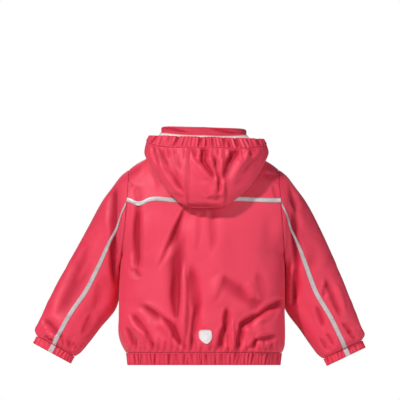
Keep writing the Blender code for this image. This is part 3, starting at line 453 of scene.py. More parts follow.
TAPE_LAY = ((3.6, 0.5), (1.3, 0.6))     # from the seam and off the cloth, in millimetres


def seam_tape(name, edge, others, closed=False):
    """A tape welded on behind a seam, over the inner faces of the cloth on both sides of it."""
    near, way, off = edge
    points, ways, offs = (np.concatenate(parts) for parts in zip(*others))
    nearest = np.argmin(np.linalg.norm(near[:, None] - points[None], axis=2), axis=1)
    far, far_way, far_off = points[nearest], ways[nearest], offs[nearest]
    middle = (near + far) / 2.0 + unit(off + far_off) * 0.75 * MM
    rows = [near + way * out * MM + off * up * MM for out, up in TAPE_LAY] + [middle]
    rows += [far + far_way * out * MM + far_off * up * MM for out, up in TAPE_LAY[::-1]]
    outer = softened(np.array(rows), 1, 3, closed)
    if np.sum(normals_of(outer) * off) > 0.0:
        outer = outer[::-1]
    inner = outer - normals_of(outer) * 0.3 * MM
    piece = add_shell(name, outer, inner, closed, CORAL)


def slot_of(material):
    """Each look of cloth, tape or film is named after its slot."""
    return material.name.removesuffix("_look")


def add_object(name, data, place=(0.0, 0.0, 0.0)):
    made = bpy.data.objects.new(name, data)
    made.location = place
    bpy.context.scene.collection.objects.link(made)
    return made


def add_mesh(name, points, faces, material, slot=None, smooth_shaded=True):
    """A mesh. What has a slot is a piece of the jacket and rides on its body."""
    mesh = bpy.data.meshes.new(name)
    mesh.from_pydata(points.tolist(), [], faces)
    mesh.materials.append(material)
    mesh.polygons.foreach_set("use_smooth", [smooth_shaded] * len(mesh.polygons))
    mesh.update()
    piece = add_object(name, mesh)
    if slot:
        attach(piece, "root")
    return piece


def stitches(name, lines, material, slot, pitch=3.0, thick=0.27):
    """Rows of single stitches that stand on the cloth along lines of points and normals."""
    shape = ((-0.38, 0.30), (-0.24, 0.85), (0.24, 0.85), (0.38, 0.30))
    turns = math.pi * (np.arange(4)[:, None] + 0.5) / 2.0
    ids = numbered(4, 4, True)
    sides = np.array([[3, 2, 1, 0], [12, 13, 14, 15], *strip(ids[:-1], ids[1:])])
    points = []
    for line, normals in lines:
        run = run_of(line)
        count = max(1, int(run[-1] / (pitch * MM)))
        step = run[-1] / count
        at = (np.arange(count) + 0.5) * step
        lift = unit(read(normals, run, at))
        way = unit(read(line, run, at + 0.3 * step) - read(line, run, at - 0.3 * step))
        aside = unit(np.cross(way, lift))
        around = aside[:, None] * np.cos(turns) + lift[:, None] * np.sin(turns)
        rings = [(read(line, run, at + share * step) + lift * (thick * fat + 0.06) * MM)[:, None]
                 + around * thick * fat * MM for share, fat in shape]
        points.append(np.stack(rings, axis=1).reshape(-1, 3))
    points = np.concatenate(points)
    faces = np.arange(0, len(points), 16)[:, None, None] + sides
    add_mesh(name, points, faces.reshape(-1, 4).tolist(), material, slot, smooth_shaded=False)


def outline_of(name):
    """Convex outline of a CAD node seen from behind, as x and z, with evenly spaced points."""
    flat = sorted({(round(float(x), 7), round(float(z), 7)) for x, _, z in welded(name)[0]})
    chains = []
    for ordered in (flat, flat[::-1]):
        chain = []
        for point in ordered:
            while len(chain) > 1 and ((chain[-1][0] - chain[-2][0]) * (point[1] - chain[-2][1])
                                      <= (chain[-1][1] - chain[-2][1])
                                      * (point[0] - chain[-2][0])):
                chain.pop()
            chain.append(point)
        chains += chain[:-1]
    ring = np.array(chains + chains[:1])
    run = run_of(ring)
    return softened(read(ring, run, np.linspace(0.0, run[-1], 97)[:-1]), 0, 2)


def terms(x, z):
    """The terms of a cubic surface over x and z."""
    return np.stack([x ** a * z ** b for a in range(4) for b in range(4 - a)], axis=-1)


# ---- creases

HEM_SEAM, CASING_SEAM = -409.0, 21.0    # heights that gathers start from, in millimetres
SHOULDER = 0.30             # height of the swellings beside a crease, as a share of it


def creases(cloth, view, table, wider=1.0, deeper=1.0):
    """Soft troughs and ridges along the lines of a table, drawn in millimetres as seen from the
    back, front, left or right. Each is steeper on one side, and fades at its ends."""
    axis, sign, across = {"back": (1, -1.0, 0), "front": (1, 1.0, 0),
                          "left": (0, -1.0, 1), "right": (0, 1.0, 1)}[view]
    total = np.zeros(cloth.outer.shape[:2])
    for *line, spread, rise in table:
        start, end = np.array(line, float).reshape(2, 2) * MM
        length = np.linalg.norm(end - start)
        run = (end - start) / length
        x, z = cloth.outer[..., across] - start[0], cloth.outer[..., 2] - start[1]
        t = (x * run[0] + z * run[1]) / length
        wide = 0.62 + 0.38 * np.sin(np.clip(t, 0.0, 1.0) * math.pi)
        off = (x * -run[1] + z * run[0]) / (spread * wider * MM * wide)
        steep = (1.0 if run[0] + run[1] > 0.0 else -1.0) * (-1.0 if rise > 0.0 else 1.0)
        off = np.where(off * steep > 0.0, off / 0.68, off / 1.34)
        ends = smooth(-0.16, 0.22, t) * (1.0 - smooth(0.78, 1.16, t))
        beside = np.exp(-(off - 1.8) ** 2) + np.exp(-(off + 1.8) ** 2)
        total += rise * deeper * MM * (np.exp(-off ** 2) - SHOULDER * beside) * ends
    return total * smooth(0.12, 0.55, cloth.normals[..., axis] * sign)


# From (x, z) to (x, z), or (y, z) at the sides; half width; rise, which is below 0 in troughs
BACK = (
    (-136, -100, -139, -238, 8, -4.2), (-150, -234, -128, -250, 6, -1.8),
    (-122, -120, -120, -216, 8, 1.6), (-36, -108, -88, -226, 5, -3.4),
    (-52, -150, -60, -330, 15, -4), (-56, -236, -54, -350, 7, -2.8),
    (-37, -232, -38, -396, 7, 3.8), (-22, -232, -10, -330, 9, -4),
    (-14, -318, -20, -404, 6, -3.4),
    (20, -104, 22, -196, 9, -1.8), (-12, -104, -14, -190, 8, 1.6),
    (38, -250, 124, -312, 13, -2.6), (24, -300, 44, -246, 8, 2.2),
    (172, -299, 118, -332, 7, -5.2), (122, -330, 80, -352, 7, -5.2),
    (84, -348, 75, -404, 6, -5), (112, -348, 152, -322, 9, 3),
    (52, -318, 48, -360, 6, -4.2), (49, -352, 34, -404, 7, -4.6),
    (66, -344, 66, -406, 4.5, 3.4), (-124, -312, -74, -346, 8, -4.2),
    (-78, -342, -38, -402, 7, -4.6), (-92, -332, -60, -372, 7, 2.4),
    (-148, -332, -116, -368, 7, -4), (-118, -364, -104, -402, 6, -3.4),
    (-160, -358, -142, -400, 7, -3.4), (117, -244, 128, -300, 9, -1.8),
    (100, -262, 108, -300, 8, 1.6), (156, -374, 116, -384, 6, -3.4),
    (118, -382, 100, -402, 5, -3.2), (152, -392, 134, -404, 5, -2.4),
)
# Where an elastic seam gathers the cloth: x, reach from the seam, half width, rise
HEM_BACK = (
    (-150, 16, 3.2, -1.5), (-140, 30, 3.6, -2), (-128, 20, 3, -1.5), (-120, 36, 3.8, -2),
    (-104, 18, 3.4, -1.7), (-92, 30, 3.6, -1.8), (-78, 24, 3.6, -2), (-64, 38, 3.8, -1.9),
    (-50, 22, 3, -1.7), (-38, 30, 3.6, -2.2), (-25, 40, 4, -2.4), (-13, 24, 3.2, -1.9),
    (-2, 30, 3.6, -2), (17, 22, 3.6, -1.8), (28, 16, 3, -1.4), (41, 30, 3.8, -2.3),
    (55, 40, 4.2, -2.6), (70, 34, 3.8, -2.4), (79, 22, 3, -1.9), (94, 28, 3.6, -2.2),
    (109, 34, 3.8, -2.1), (121, 18, 3, -1.5), (131, 26, 3.4, -1.9), (145, 20, 3.2, -1.7),
    (157, 26, 3.4, -1.8),
)
HEM_FRONT = (
    (-150, 22, 3.2, -1.7), (-138, 34, 3.8, -2.1), (-126, 18, 3, -1.5), (-113, 30, 3.8, -2.2),
    (-99, 22, 3.4, -1.8), (-88, 38, 4, -2.2), (-74, 20, 3.2, -1.6), (-62, 32, 3.6, -2.1),
    (-48, 24, 3.4, -1.8), (-36, 18, 3, -1.5), (40, 22, 3.2, -1.6), (53, 34, 3.8, -2.1),
    (66, 20, 3.2, -1.7), (80, 36, 4, -2.3), (93, 24, 3.4, -1.9), (107, 32, 3.8, -2.1),
    (119, 18, 3, -1.6), (132, 34, 3.6, -2.2), (146, 24, 3.4, -1.8), (157, 20, 3.2, -1.6),
)
SHOULDERS = (
    (-168, -42, -130, -20, 6, -2.4), (-166, -50, -142, -62, 5, -1.8),
    (136, -16, 176, -32, 6, -2.2), (132, -34, 160, -40, 6, -1.6),
    (-140, -62, -132, -92, 8, -2), (150, -60, 158, -88, 6, -1.8),
    (-110, -24, -96, -70, 10, 1.2),
)
FRONT = (
    (120, -120, 96, -190, 7, -2.2), (90, -176, 98, -250, 8, -1.8), (60, -210, 66, -300, 9, 1.8),
    (120, -260, 150, -300, 8, -2), (100, -310, 76, -372, 7, -2.2), (140, -330, 118, -384, 7, -2),
    (48, -330, 56, -392, 6, -1.8), (-118, -122, -100, -196, 7, -2), (-92, -200, -84, -280, 8, -1.8),
    (-56, -180, -62, -262, 9, 1.6), (-130, -250, -104, -306, 8, -2), (-76, -318, -90, -386, 7, -2.2),
    (-140, -322, -124, -380, 7, -1.8), (-46, -320, -50, -390, 6, -1.8), (70, -92, 60, -140, 9, -1.4),
    (-74, -84, -62, -136, 9, -1.4),
)
SLEEVES_BACK = (
    (-186, -62, -189, -154, 10, -5), (-187, -158, -181, -264, 10, -5.6),
    (-168, -120, -162, -220, 7, 2.4), (-242, -196, -302, -334, 16, -3.8),
    (-222, -186, -262, -262, 9, 1.6), (-332, -342, -298, -378, 7, -3.8),
    (-338, -372, -312, -386, 4, -2.4), (-326, -384, -304, -394, 3.6, -2.2),
    (-300, -370, -290, -396, 4, -2.4), (-284, -384, -272, -404, 4, -2.2),
    (-270, -390, -262, -408, 3.6, -2), (-318, -362, -336, -380, 4, 2),
    (-232, -330, -250, -372, 7, -2), (-214, -262, -222, -318, 9, -1.6),
    (176, -58, 198, -112, 7, -4.6), (166, -84, 176, -120, 6, -2.6),
    (192, -118, 197, -240, 9, -5.5), (195, -236, 190, -308, 8, -4.5),
    (190, -52, 204, -92, 7, 2.4), (214, -150, 232, -236, 12, -2.2),
    (256, -294, 262, -262, 5, -2.6), (262, -260, 292, -334, 7, -3.2),
    (284, -270, 300, -320, 7, 2.2), (240, -316, 254, -358, 6, -3.2),
    (296, -350, 316, -372, 4, -2.8), (306, -366, 324, -384, 4, -2.4),
    (262, -372, 276, -398, 4, -2.6), (248, -382, 262, -406, 4, -2.2),
    (288, -376, 294, -396, 3.4, -2),
)
SLEEVES_FRONT = (
    (196, -150, 222, -206, 8, -2.4), (212, -232, 262, -246, 7, -2.4), (222, -262, 268, -272, 6, -2),
    (228, -246, 268, -258, 6, 1.8), (280, -330, 302, -372, 6, -2.2), (300, -360, 322, -388, 4, -2),
    (262, -368, 280, -400, 5, -2.2), (182, -92, 204, -126, 7, -1.8),
    (-196, -150, -220, -204, 8, -2.4), (-210, -236, -262, -244, 7, -2.4),
    (-224, -268, -266, -276, 6, -2), (-230, -250, -266, -260, 6, 1.8),
    (-286, -330, -308, -368, 6, -2.2), (-306, -362, -326, -388, 4, -2),
    (-270, -366, -288, -402, 5, -2.2), (-186, -94, -202, -130, 7, -1.8),
)
SIDES = (
    (-20, -150, 16, -190, 9, -2), (30, -196, 2, -236, 8, -2.2), (52, -214, 20, -252, 7, -1.8),
    (8, -262, 40, -300, 8, -2), (56, -286, 30, -330, 7, -1.8), (18, -340, 40, -372, 6, -2),
    (52, -352, 34, -384, 5, -2),
)
HOOD = (
    (-90, 18, -74, -32, 6, -3.8), (-76, -28, -42, -72, 6, -3.6), (-72, 18, -50, -44, 5, -2.4),
    (-84, -8, -58, -58, 6, 2.2), (-58, 16, -46, -30, 5, -2.2), (-104, 22, -92, -16, 6, -2.4),
    (4, 26, 1, -12, 6.5, -5), (1, -8, 26, -44, 6, -4.6), (-20, -2, 18, -46, 6, 2.8),
    (16, 14, 22, -26, 5, 2.6), (-22, 26, -12, 0, 4.5, -3), (27, 2, 36, -46, 5, -4.6),
    (36, -42, 37, -74, 4, -3), (46, -52, 44, -84, 4, 3), (30, -62, 24, -86, 6, 1.8),
    (84, 26, 58, -6, 8, -5.4), (60, -2, 46, -44, 9, -5.4), (104, 18, 64, -40, 9, 3),
    (68, 22, 60, 2, 5, -2.8), (110, 22, 98, 4, 5, -2.8), (124, 6, 70, -62, 10, -1.8),
    (-29, 24, -30, -98, 3.2, 1.6), (39, 22, 43, -30, 3.2, 1.4), (10, -88, 44, -84, 5, -1.6),
    (-38, -103, 42, -104, 6, -2.4), (-60, -78, -38, -84, 5, -1.4),
)
BELOW_CASING = (
    (-104, 12, 2.8, -1.2), (-93, 20, 3.2, -1.8), (-82, 14, 2.8, -1.6), (-70, 24, 3.4, -2),
    (-58, 16, 3, -1.7), (-48, 12, 2.8, -1.5), (-36, 26, 3.2, -2), (-25, 14, 2.8, -1.6),
    (-12, 20, 3, -1.9), (0, 16, 3, -1.8), (12, 24, 3.2, -2.1), (24, 14, 2.8, -1.7),
    (36, 28, 3.2, -2.2), (49, 16, 3, -1.8), (60, 24, 3.2, -2.2), (72, 18, 3, -2),
    (86, 26, 3.4, -2.2), (101, 16, 3, -1.8), (114, 12, 2.8, -1.4),
)
COLLAR = ((-80, 60, -26, 48, 5, -1.6), (20, 58, 78, 44, 5, -1.6), (-40, 36, 6, 32, 6, -1))


def back_creases(cloth):
    """The creases of the back as it is worn, with those that run up to the shoulders."""
    return creases(cloth, "back", BACK, 1.2, 1.5) + creases(cloth, "back", SHOULDERS)


def gathers(cloth, table, seam, view, lean=0.0, way=1.0):
    """Short tapered troughs that rise, or with way -1 hang, from an elastic seam's height."""
    rows = [(x, seam - way * 2.0, x + lean * reach, seam + way * reach, spread, rise)
            for x, reach, spread, rise in table]
    return creases(cloth, view, rows)


def near_armpits(cloth, middle, aside, height, wide, high):
    """1 at a place on both sides of the body's middle, and 0 far from it, in millimetres."""
    x, z = cloth.outer[..., 0], cloth.outer[..., 2]
    return np.exp(-((np.abs(x - middle * MM) - aside * MM) / (wide * MM)) ** 2
                  - ((z - height * MM) / (high * MM)) ** 2)


def pinned(cloth, *sides, reach=4.5):
    """1 over the cloth, falling to 0 at the named edges, where a seam holds it."""
    share = np.ones(cloth.outer.shape[:2])
    for side in sides:
        away = {"foot": cloth.v[:, None], "head": cloth.height - cloth.v[:, None],
                "start": cloth.u[None, :], "end": cloth.width - cloth.u[None, :]}[side]
        share = share * smooth(-0.5 * MM, reach * MM, away)
    return share


def pleats(cloth, count, deep, spread, turn):
    """Narrow folds across a band, each with its own place, depth, slant and deepest point."""
    u, v = cloth.u[None, :], cloth.v[:, None] / cloth.height
    total = np.zeros(cloth.outer.shape[:2])
    for k in range(count):
        one, two, three = (math.sin(turn + k * step) for step in (2.399, 1.117, 3.713))
        middle = cloth.width * (k + 0.5 + 0.36 * one) / count
        away = u - middle - 1.3 * MM * two * (2.0 * v - 1.0)
        if cloth.closed:
            away = (away + cloth.width / 2.0) % cloth.width - cloth.width / 2.0
        wide = cloth.width / count * spread * (1.0 + 0.35 * three)
        share = 0.62 + 0.38 * np.cos(math.pi * (v - 0.5 - 0.5 * three))
        total -= deep * MM * (0.66 + 0.34 * two) * np.exp(-(away / wide) ** 2) * share
    return total


def ring_gathers(cloth, count, reach, rise, turn):
    """Small uneven gathers up from the lower edge of a piece, in its own places across."""
    u, v = cloth.u[None, :], cloth.v[:, None]
    total = np.zeros(cloth.outer.shape[:2])
    for k in range(count):
        middle = cloth.width * (k + 0.5 + 0.28 * math.sin(2.3 * k + turn)) / count
        high = reach * (0.62 + 0.38 * math.sin(1.7 * k + turn * 2.0)) * MM
        wide = cloth.width / count * (0.26 + 0.07 * math.cos(3.1 * k + turn))
        fade = np.clip(1.0 - v / high, 0.0, 1.0) ** 1.4
        total -= rise * MM * (0.8 + 0.2 * math.cos(1.3 * k)) * np.exp(
            -((u - middle - 0.15 * v) / wide) ** 2) * fade
    return total


# ---- materials

PAINTED_FOLD_SHADE = (0.40, 0.004, 0.026)        # painted shade: colour at the bottom of a deep fold


class Look:
    """A material in the making, with textures in the object's own coordinates."""

    def __init__(self, name):
        self.made = bpy.data.materials.new(name)
        self.made.use_nodes = True
        self.tree = self.made.node_tree
        self.place = self.node("TexCoord").outputs["Object"]

    def fill(self, node, values):
        """Set sockets, named with _ for a space, or link what varies to them."""
        for key, value in values.items():
            socket = node.inputs[key.replace("_", " ")]
            if isinstance(value, bpy.types.NodeSocket):
                self.tree.links.new(value, socket)
            else:
                socket.default_value = value

    def node(self, kind, **values):
        node = self.tree.nodes.new("ShaderNode" + kind)
        self.fill(node, values)
        return node

    def noise(self, scale, detail=2.0, rough=0.5):
        return self.node("TexNoise", Vector=self.place, Scale=scale, Detail=detail,
                         Roughness=rough).outputs["Fac"]

    def beads(self, scale):
        return self.node("TexVoronoi", Vector=self.place, Scale=scale).outputs["Distance"]

    def attribute(self, name):
        node = self.node("Attribute")
        node.attribute_name = name
        return node.outputs["Fac"]

    def ranged(self, value, low=0.3, high=0.7, to_low=0.0, to_high=1.0):
        return self.node("MapRange", Value=value, From_Min=low, From_Max=high, To_Min=to_low,
                         To_Max=to_high).outputs["Result"]

    def mixed(self, factor, one, two):
        node = self.node("Mix")
        node.data_type = "RGBA"
        for n, value in ((0, factor), (6, one), (7, two)):
            if isinstance(value, tuple):
                node.inputs[n].default_value = (*value, 1.0)
            else:
                self.tree.links.new(value, node.inputs[n])
        return node.outputs[2]

    def bumped(self, height, strength, distance, **before):
        return self.node("Bump", Height=height, Strength=strength, Distance=distance,
                         **before).outputs["Normal"]

    def done(self, **values):
        self.fill(self.tree.nodes["Principled BSDF"], values)
        return self.made


def dimmed(colour, share):
    return tuple(part * share for part in colour)


def coated_cloth(name, colour, deep, rubbed):
    """Rubber-coated cloth: a fine pebbled grain, soft handling marks, rubbed and darker seams, and
    painted shade in its folds.
    """
    look = Look(name)
    broad, cloud = look.noise(14.0, 3.0), look.noise(75.0, 4.0, 0.6)
    pebble, weave = look.noise(1500.0), look.noise(520.0, 3.0)
    fold, seam = look.attribute("fold"), look.attribute("seam")
    tint = look.mixed(look.ranged(broad, 0.3, 0.7, 0.0, 0.55), colour, deep)
    tint = look.mixed(look.ranged(cloud, 0.45, 0.75, 0.0, 0.16), tint, rubbed)
    # Painted shade: the deeper a fold, the more its colour is darkened, and its specular level is
    # lowered there too
    tint = look.mixed(look.ranged(fold, 0.05, 0.9, 0.0, 0.88), tint, PAINTED_FOLD_SHADE)
    tint = look.mixed(look.ranged(seam, 0.0, 1.0, 0.0, 0.6), tint, deep)
    bump = look.bumped(pebble, 0.16, 0.00018)
    bump = look.bumped(weave, 0.12, 0.0004, Normal=bump)
    bump = look.bumped(cloud, 0.16, 0.0012, Normal=bump)
    return look.done(Base_Color=tint, Roughness=look.ranged(cloud, 0.3, 0.7, 0.58, 0.68),
                     Specular_IOR_Level=look.ranged(fold, 0.0, 0.9, 0.66, 0.20), Normal=bump,
                     Sheen_Weight=0.10, Sheen_Roughness=0.5, Coat_Weight=0.05,
                     Coat_Roughness=0.42)


def lining_cloth(name):
    """Thin brushed lining with a knitted grain."""
    look = Look(name)
    cloud = look.noise(60.0, 3.0)
    tint = look.mixed(look.ranged(cloud), (0.86, 0.79, 0.77), (0.80, 0.70, 0.69))
    tint = look.mixed(look.attribute("binding"), tint, (0.72, 0.030, 0.066))
    return look.done(Base_Color=tint, Roughness=look.ranged(cloud, 0.3, 0.7, 0.80, 0.92),
                     Sheen_Weight=0.3, Normal=look.bumped(look.beads(900.0), 0.35, 0.0003))


def reflective(name, light, dark, metallic, beads):
    """Reflective film: grey with tiny glass beads, faint cracks and rubbed patches."""
    look = Look(name)
    cloud, streak = look.noise(90.0, 4.0, 0.65), look.noise(420.0)
    tint = look.mixed(look.ranged(cloud, 0.32, 0.68), light, dark)
    tint = look.mixed(look.ranged(streak, 0.56, 0.72, 0.0, 0.30), tint, dark)
    bump = look.bumped(look.beads(beads), 0.25, 0.00012)
    bump = look.bumped(streak, 0.18, 0.0003, Normal=bump)
    return look.done(Base_Color=tint, Roughness=look.ranged(cloud, 0.3, 0.7, 0.34, 0.48),
                     Metallic=metallic, Normal=bump)


def thread(name, colour):
    """Spun thread with its twist."""
    look = Look(name)
    twist = look.noise(2600.0, 1.0)
    return look.done(Base_Color=look.mixed(twist, colour, dimmed(colour, 0.72)),
                     Roughness=0.55, Normal=look.bumped(twist, 0.3, 0.0002))


def enamelled(name, colour):
    """Painted press-stud cap, with fine scratches."""
    look = Look(name)
    scratch, cloud = look.noise(700.0, 5.0, 0.7), look.noise(160.0)
    tint = look.mixed(look.ranged(cloud), colour, dimmed(colour, 0.8))
    return look.done(Base_Color=tint, Roughness=look.ranged(scratch, 0.3, 0.7, 0.22, 0.38),
                     Coat_Weight=0.35, Coat_Roughness=0.15,
                     Normal=look.bumped(scratch, 0.08, 0.0001))


CORAL = coated_cloth("coral_coated_cloth_look", (0.80, 0.027, 0.080), (0.70, 0.018, 0.062),
                     (0.84, 0.052, 0.112))
BAND = coated_cloth("coral_gathered_cloth_look", (0.76, 0.024, 0.072), (0.56, 0.012, 0.048),
                    (0.82, 0.052, 0.108))
LINING = lining_cloth("pale_lining_look")
TAPE = reflective("reflective_tape_look", (0.64, 0.57, 0.58), (0.46, 0.41, 0.42), 0.20, 2400.0)
BADGE = reflective("silver_badge_look", (0.88, 0.87, 0.86), (0.72, 0.71, 0.71), 0.10, 2000.0)
STUD = enamelled("stud_cap_look", (0.70, 0.045, 0.080))
RED_THREAD = thread("red_thread_look", (0.66, 0.035, 0.070))
GREY_THREAD = thread("grey_thread_look", (0.34, 0.33, 0.33))


# ---- the pieces

PANEL = twin_length(1.25, 1.78)
HOOD_WALL = twin_length(1.5, 1.7)
TAPE_WALL = twin_length(0.6, 0.8)
# Millimetres: places across, heights, and the badge's x and z
MIDDLE, BODY_HALF, PLACKET_MIDDLE, CASING_HALF = 4.0, 176.0, 4.6, 160.0
ARMPIT, SLEEVES_FREE, SIDE_SEAM_MIDDLE, SIDE_SEAM_HALF = -196.0, -300.0, -307.0, 94.0
BADGE_X, BADGE_Z = 8.0, -378.0
EDGES = (("left", "start", "end"), ("right", "end", "start"))   # side, back's and front's edge


def casing_twin(a, b):
    return twin_across(3.9)(a, b) and abs(b[2] - a[2]) < 0.7 * np.linalg.norm(b - a)


back = Cloth("back_panel", PANEL, (0, -1, 0), cell=2.4)
back.eased(near_armpits(back, 0.0, 160.0, -205.0, 34.0, 22.0)
           * pinned(back, "start", "end", reach=8.0))
from_badge = np.hypot(back.outer[..., 0] - BADGE_X * MM, back.outer[..., 2] - BADGE_Z * MM)
back.push((back_creases(back) + 1.3 * gathers(back, HEM_BACK, HEM_SEAM, "back", 0.06))
          * pinned(back, "foot", "start", "end") * smooth(15.0 * MM, 24.0 * MM, from_badge))
yoke = Cloth("back_yoke", PANEL, (0, -1, 0.5))
yoke.push(back_creases(yoke) * pinned(yoke, "head", "start", "end"))
fronts = {}
for side in ("left", "right"):
    front = Cloth("front_" + side, PANEL, (0, 1, 0), cell=2.6)
    rise = creases(front, "front", FRONT) + creases(front, "back", SHOULDERS)
    rise += 1.4 * gathers(front, HEM_FRONT, HEM_SEAM, "front", -0.05)
    rise *= smooth(20.0 * MM, 34.0 * MM, np.abs(front.outer[..., 0] - PLACKET_MIDDLE * MM))
    front.push(rise * pinned(front, "foot", "head", "start", "end"))
    fronts[side] = front
yoke_tape = Cloth("yoke_tape", TAPE_WALL, (0, -1, 0.3), cell=2.2, lap=0.0)
yoke_tape.follow((back, yoke))
placket = Cloth("front_placket", PANEL, (0, 1, 0), cell=2.6, lap=0.0)

sleeves, tapes, cuffs, cuff_tapes = {}, {}, {}, {}
for side, way in (("left", -1.0), ("right", 1.0)):
    sleeves[side] = {}
    for part, facing, count in (("upper", (way, 0, 0), 16), ("under", (-0.5 * way, -1, 0), 6)):
        sleeve = Cloth("sleeve_%s_%s" % (side, part), PANEL, facing, cell=2.5)
        rise = creases(sleeve, "back", SLEEVES_BACK, 1.2, 1.35)
        rise += creases(sleeve, "front", SLEEVES_FRONT) + 0.3 * creases(sleeve, side, SIDES)
        rise += ring_gathers(sleeve, count, 24.0, 1.7, 1.0 + way)
        aside = np.abs(sleeve.outer[..., 0] - MIDDLE * MM) - BODY_HALF * MM
        free = sleeve.outer[..., 2] < SLEEVES_FREE * MM
        rise *= np.where(free, 1.0, smooth(0.0, 12.0 * MM, aside))
        rise *= pinned(sleeve, "foot", "head") * pinned(sleeve, "start", "end", reach=7.0)
        # A swelling at the armpit shuts the slit between the sleeve's end and the body
        sleeve.push(rise + 2.5 * MM * near_armpits(sleeve, MIDDLE, 174.0, -211.0, 12.0, 11.0))
        sleeves[side][part] = sleeve
    tapes[side] = Cloth("sleeve_tape_" + side, TAPE_WALL, (0, -1, 0), cell=2.2, lap=0.0)
    tapes[side].follow(sleeves[side].values())
    centre, axis = ring_axis("cuff_" + side)
    cuff = Cloth("cuff_" + side, twin_across(3.7, centre, axis), (0, -1, 0), cell=1.5,
                 closed=True, across_cell=0.8, stray=0.45)
    cuff.push(pleats(cuff, 43, 1.2, 0.24, 1.7 + way) * pinned(cuff, "head", reach=4.5))
    cuffs[side] = cuff
    cuff_tapes[side] = Cloth("cuff_tape_" + side, TAPE_WALL, (0, -1, 0), cell=1.6, lap=0.0)

hem = Cloth("hem_band", twin_length(1.0, 2.85), cell=1.8, closed=True, across_cell=1.0, stray=0.5)
hem.push(pleats(hem, 131, 1.5, 0.24, 0.6) * pinned(hem, "head", reach=4.5))
collar = Cloth("collar", PANEL, cell=2.4)
collar.push(creases(collar, "back", COLLAR))
hoods = {}
for part in ("left", "centre", "right"):
    hood = Cloth("hood_" + part, HOOD_WALL, cell=2.0)
    rise = creases(hood, "back", HOOD, 1.2, 1.4)
    rise += gathers(hood, BELOW_CASING, CASING_SEAM, "back", way=-1.0)
    hood.push(rise * pinned(hood, "foot", "head", reach=5.0)
              * smooth(0.0, 22.0 * MM, 12.0 * MM - hood.outer[..., 1]))
    hoods[part] = hood
casing = Cloth("hood_casing", casing_twin, cell=1.6, across_cell=0.9, stray=0.7)
deeper = 1.0 + 0.55 * smooth(-40.0 * MM, 60.0 * MM, casing.outer[..., 0])
casing.push(pleats(casing, 57, 1.9, 0.26, 2.2) * deeper * pinned(casing, "foot")
            * smooth(1.5 * MM, 9.0 * MM, CASING_HALF * MM - np.abs(casing.outer[..., 0])))
lining = Cloth("hood_lining", twin_length(0.9, 1.15), cell=2.4, lap=0.0)

for side, at, front_at in EDGES:
    body = [inside_edge(back, at), inside_edge(yoke, at), inside_edge(fronts[side], front_at)]
    for part, sleeve in sleeves[side].items():
        seam_tape("armhole_tape_%s_%s" % (side, part), inside_edge(sleeve, "head"), body)
    seam_tape("cuff_seam_tape_" + side, inside_edge(cuffs[side], "head"),
              [inside_edge(sleeve, "foot") for sleeve in sleeves[side].values()], True)
for side, at, front_at in EDGES:
    edge = inside_edge(back, at)
    below_armpit = np.abs(edge[0][:, 2] - SIDE_SEAM_MIDDLE * MM) < SIDE_SEAM_HALF * MM
    seam_tape("side_seam_tape_" + side, tuple(part[below_armpit] for part in edge),
              [inside_edge(fronts[side], front_at)])
seam_tape("hem_seam_tape", inside_edge(hem, "head"),
          [inside_edge(cloth, "foot") for cloth in (back, *fronts.values(), placket)], True)
seam_tape("casing_seam_tape", inside_edge(casing, "foot"),
          [inside_edge(hood, "foot") for hood in hoods.values()])

for cloth in (back, yoke, *fronts.values(), placket):
    cloth.build(CORAL)
yoke_tape.build(TAPE)
for side in ("left", "right"):
    for sleeve in sleeves[side].values():
        sleeve.build(CORAL)
for side in ("left", "right"):
    tapes[side].build(TAPE)
    cuffs[side].build(CORAL, "gathered", 1.3)
    cuff_tapes[side].build(TAPE)
hem.build(BAND, "gathered", 1.1)
collar.build(CORAL)
for hood in hoods.values():
    hood.build(CORAL, "draped")
casing.build(CORAL, "gathered", 1.6)
piece = lining.build(LINING, "draped")
at_start = lining.outer[:, 0, 2].mean() > lining.outer[:, -1, 2].mean()
away = lining.u if at_start else lining.width - lining.u
marked(piece, "binding", np.tile(1.0 - smooth(4.6 * MM, 5.6 * MM, away), (len(lining.v), 1)))

for name, node in NODES.items():
    if name.startswith("stud_"):
        node.data.materials.clear()
        node.data.materials.append(STUD)


# ---- the badge

# Share of the outline and height off the cloth in millimetres, from the film's underside
# over its raised border to its middle
BADGE_LEVELS = (
    (0.03, 0.0), (0.35, 0.0), (0.68, 0.0), (0.985, 0.0), (1.0, 0.10), (1.0, 0.50),
    (0.985, 0.72), (0.955, 0.86), (0.90, 0.88), (0.865, 0.66), (0.84, 0.26), (0.80, 0.24),
    (0.68, 0.42), (0.50, 0.58), (0.25, 0.68), (0.03, 0.70),
)
BADGE_UNIT = 20.0 * MM


def laid_badge():
    """Bare film with a raised, stitched border, laid on the back panel."""
    ring = outline_of("back_badge")
    middle = ring.mean(axis=0)
    places = back.outer[..., [0, 2]] - middle
    near = np.hypot(places[..., 0], places[..., 1]) < 19.0 * MM
    under = terms(*(places[near] / BADGE_UNIT).T)
    depth = back.outer[near][:, 1]
    fit = np.linalg.lstsq(under, depth, rcond=None)[0]
    proud = np.maximum(0.0, under @ fit - depth).max()

    def level(share, height):
        flat = (ring - middle) * share
        y = terms(*(flat / BADGE_UNIT).T) @ fit - proud - (0.30 + height) * MM
        return np.stack([middle[0] + flat[:, 0], y, middle[1] + flat[:, 1]], axis=1)

    rows = np.array([level(share, height) for share, height in BADGE_LEVELS])
    ids, top = numbered(*rows.shape[:2], True), rows[..., 0].size
    faces = strip(ids[:-1], ids[1:]).tolist()
    faces += [[a, b, top] for a, b in zip(ids[-1], ids[-1, 1:])]
    faces += [[b, a, top + 1] for a, b in zip(ids[0], ids[0, 1:])]
    points = np.concatenate([rows.reshape(-1, 3), rows[-1:].mean(axis=1), rows[:1].mean(axis=1)])
    badge = add_mesh("badge_film", points, faces, BADGE, slot_of(BADGE))
    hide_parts("back_badge")
    line = level(0.925, 0.90)
    line = np.concatenate([line, line[:1]])
    stitches("badge_stitches", [(line, np.tile((0.0, -1.0, 0.0), (len(line), 1)))], GREY_THREAD,
             "silver_badge", 1.7, 0.34)


laid_badge()


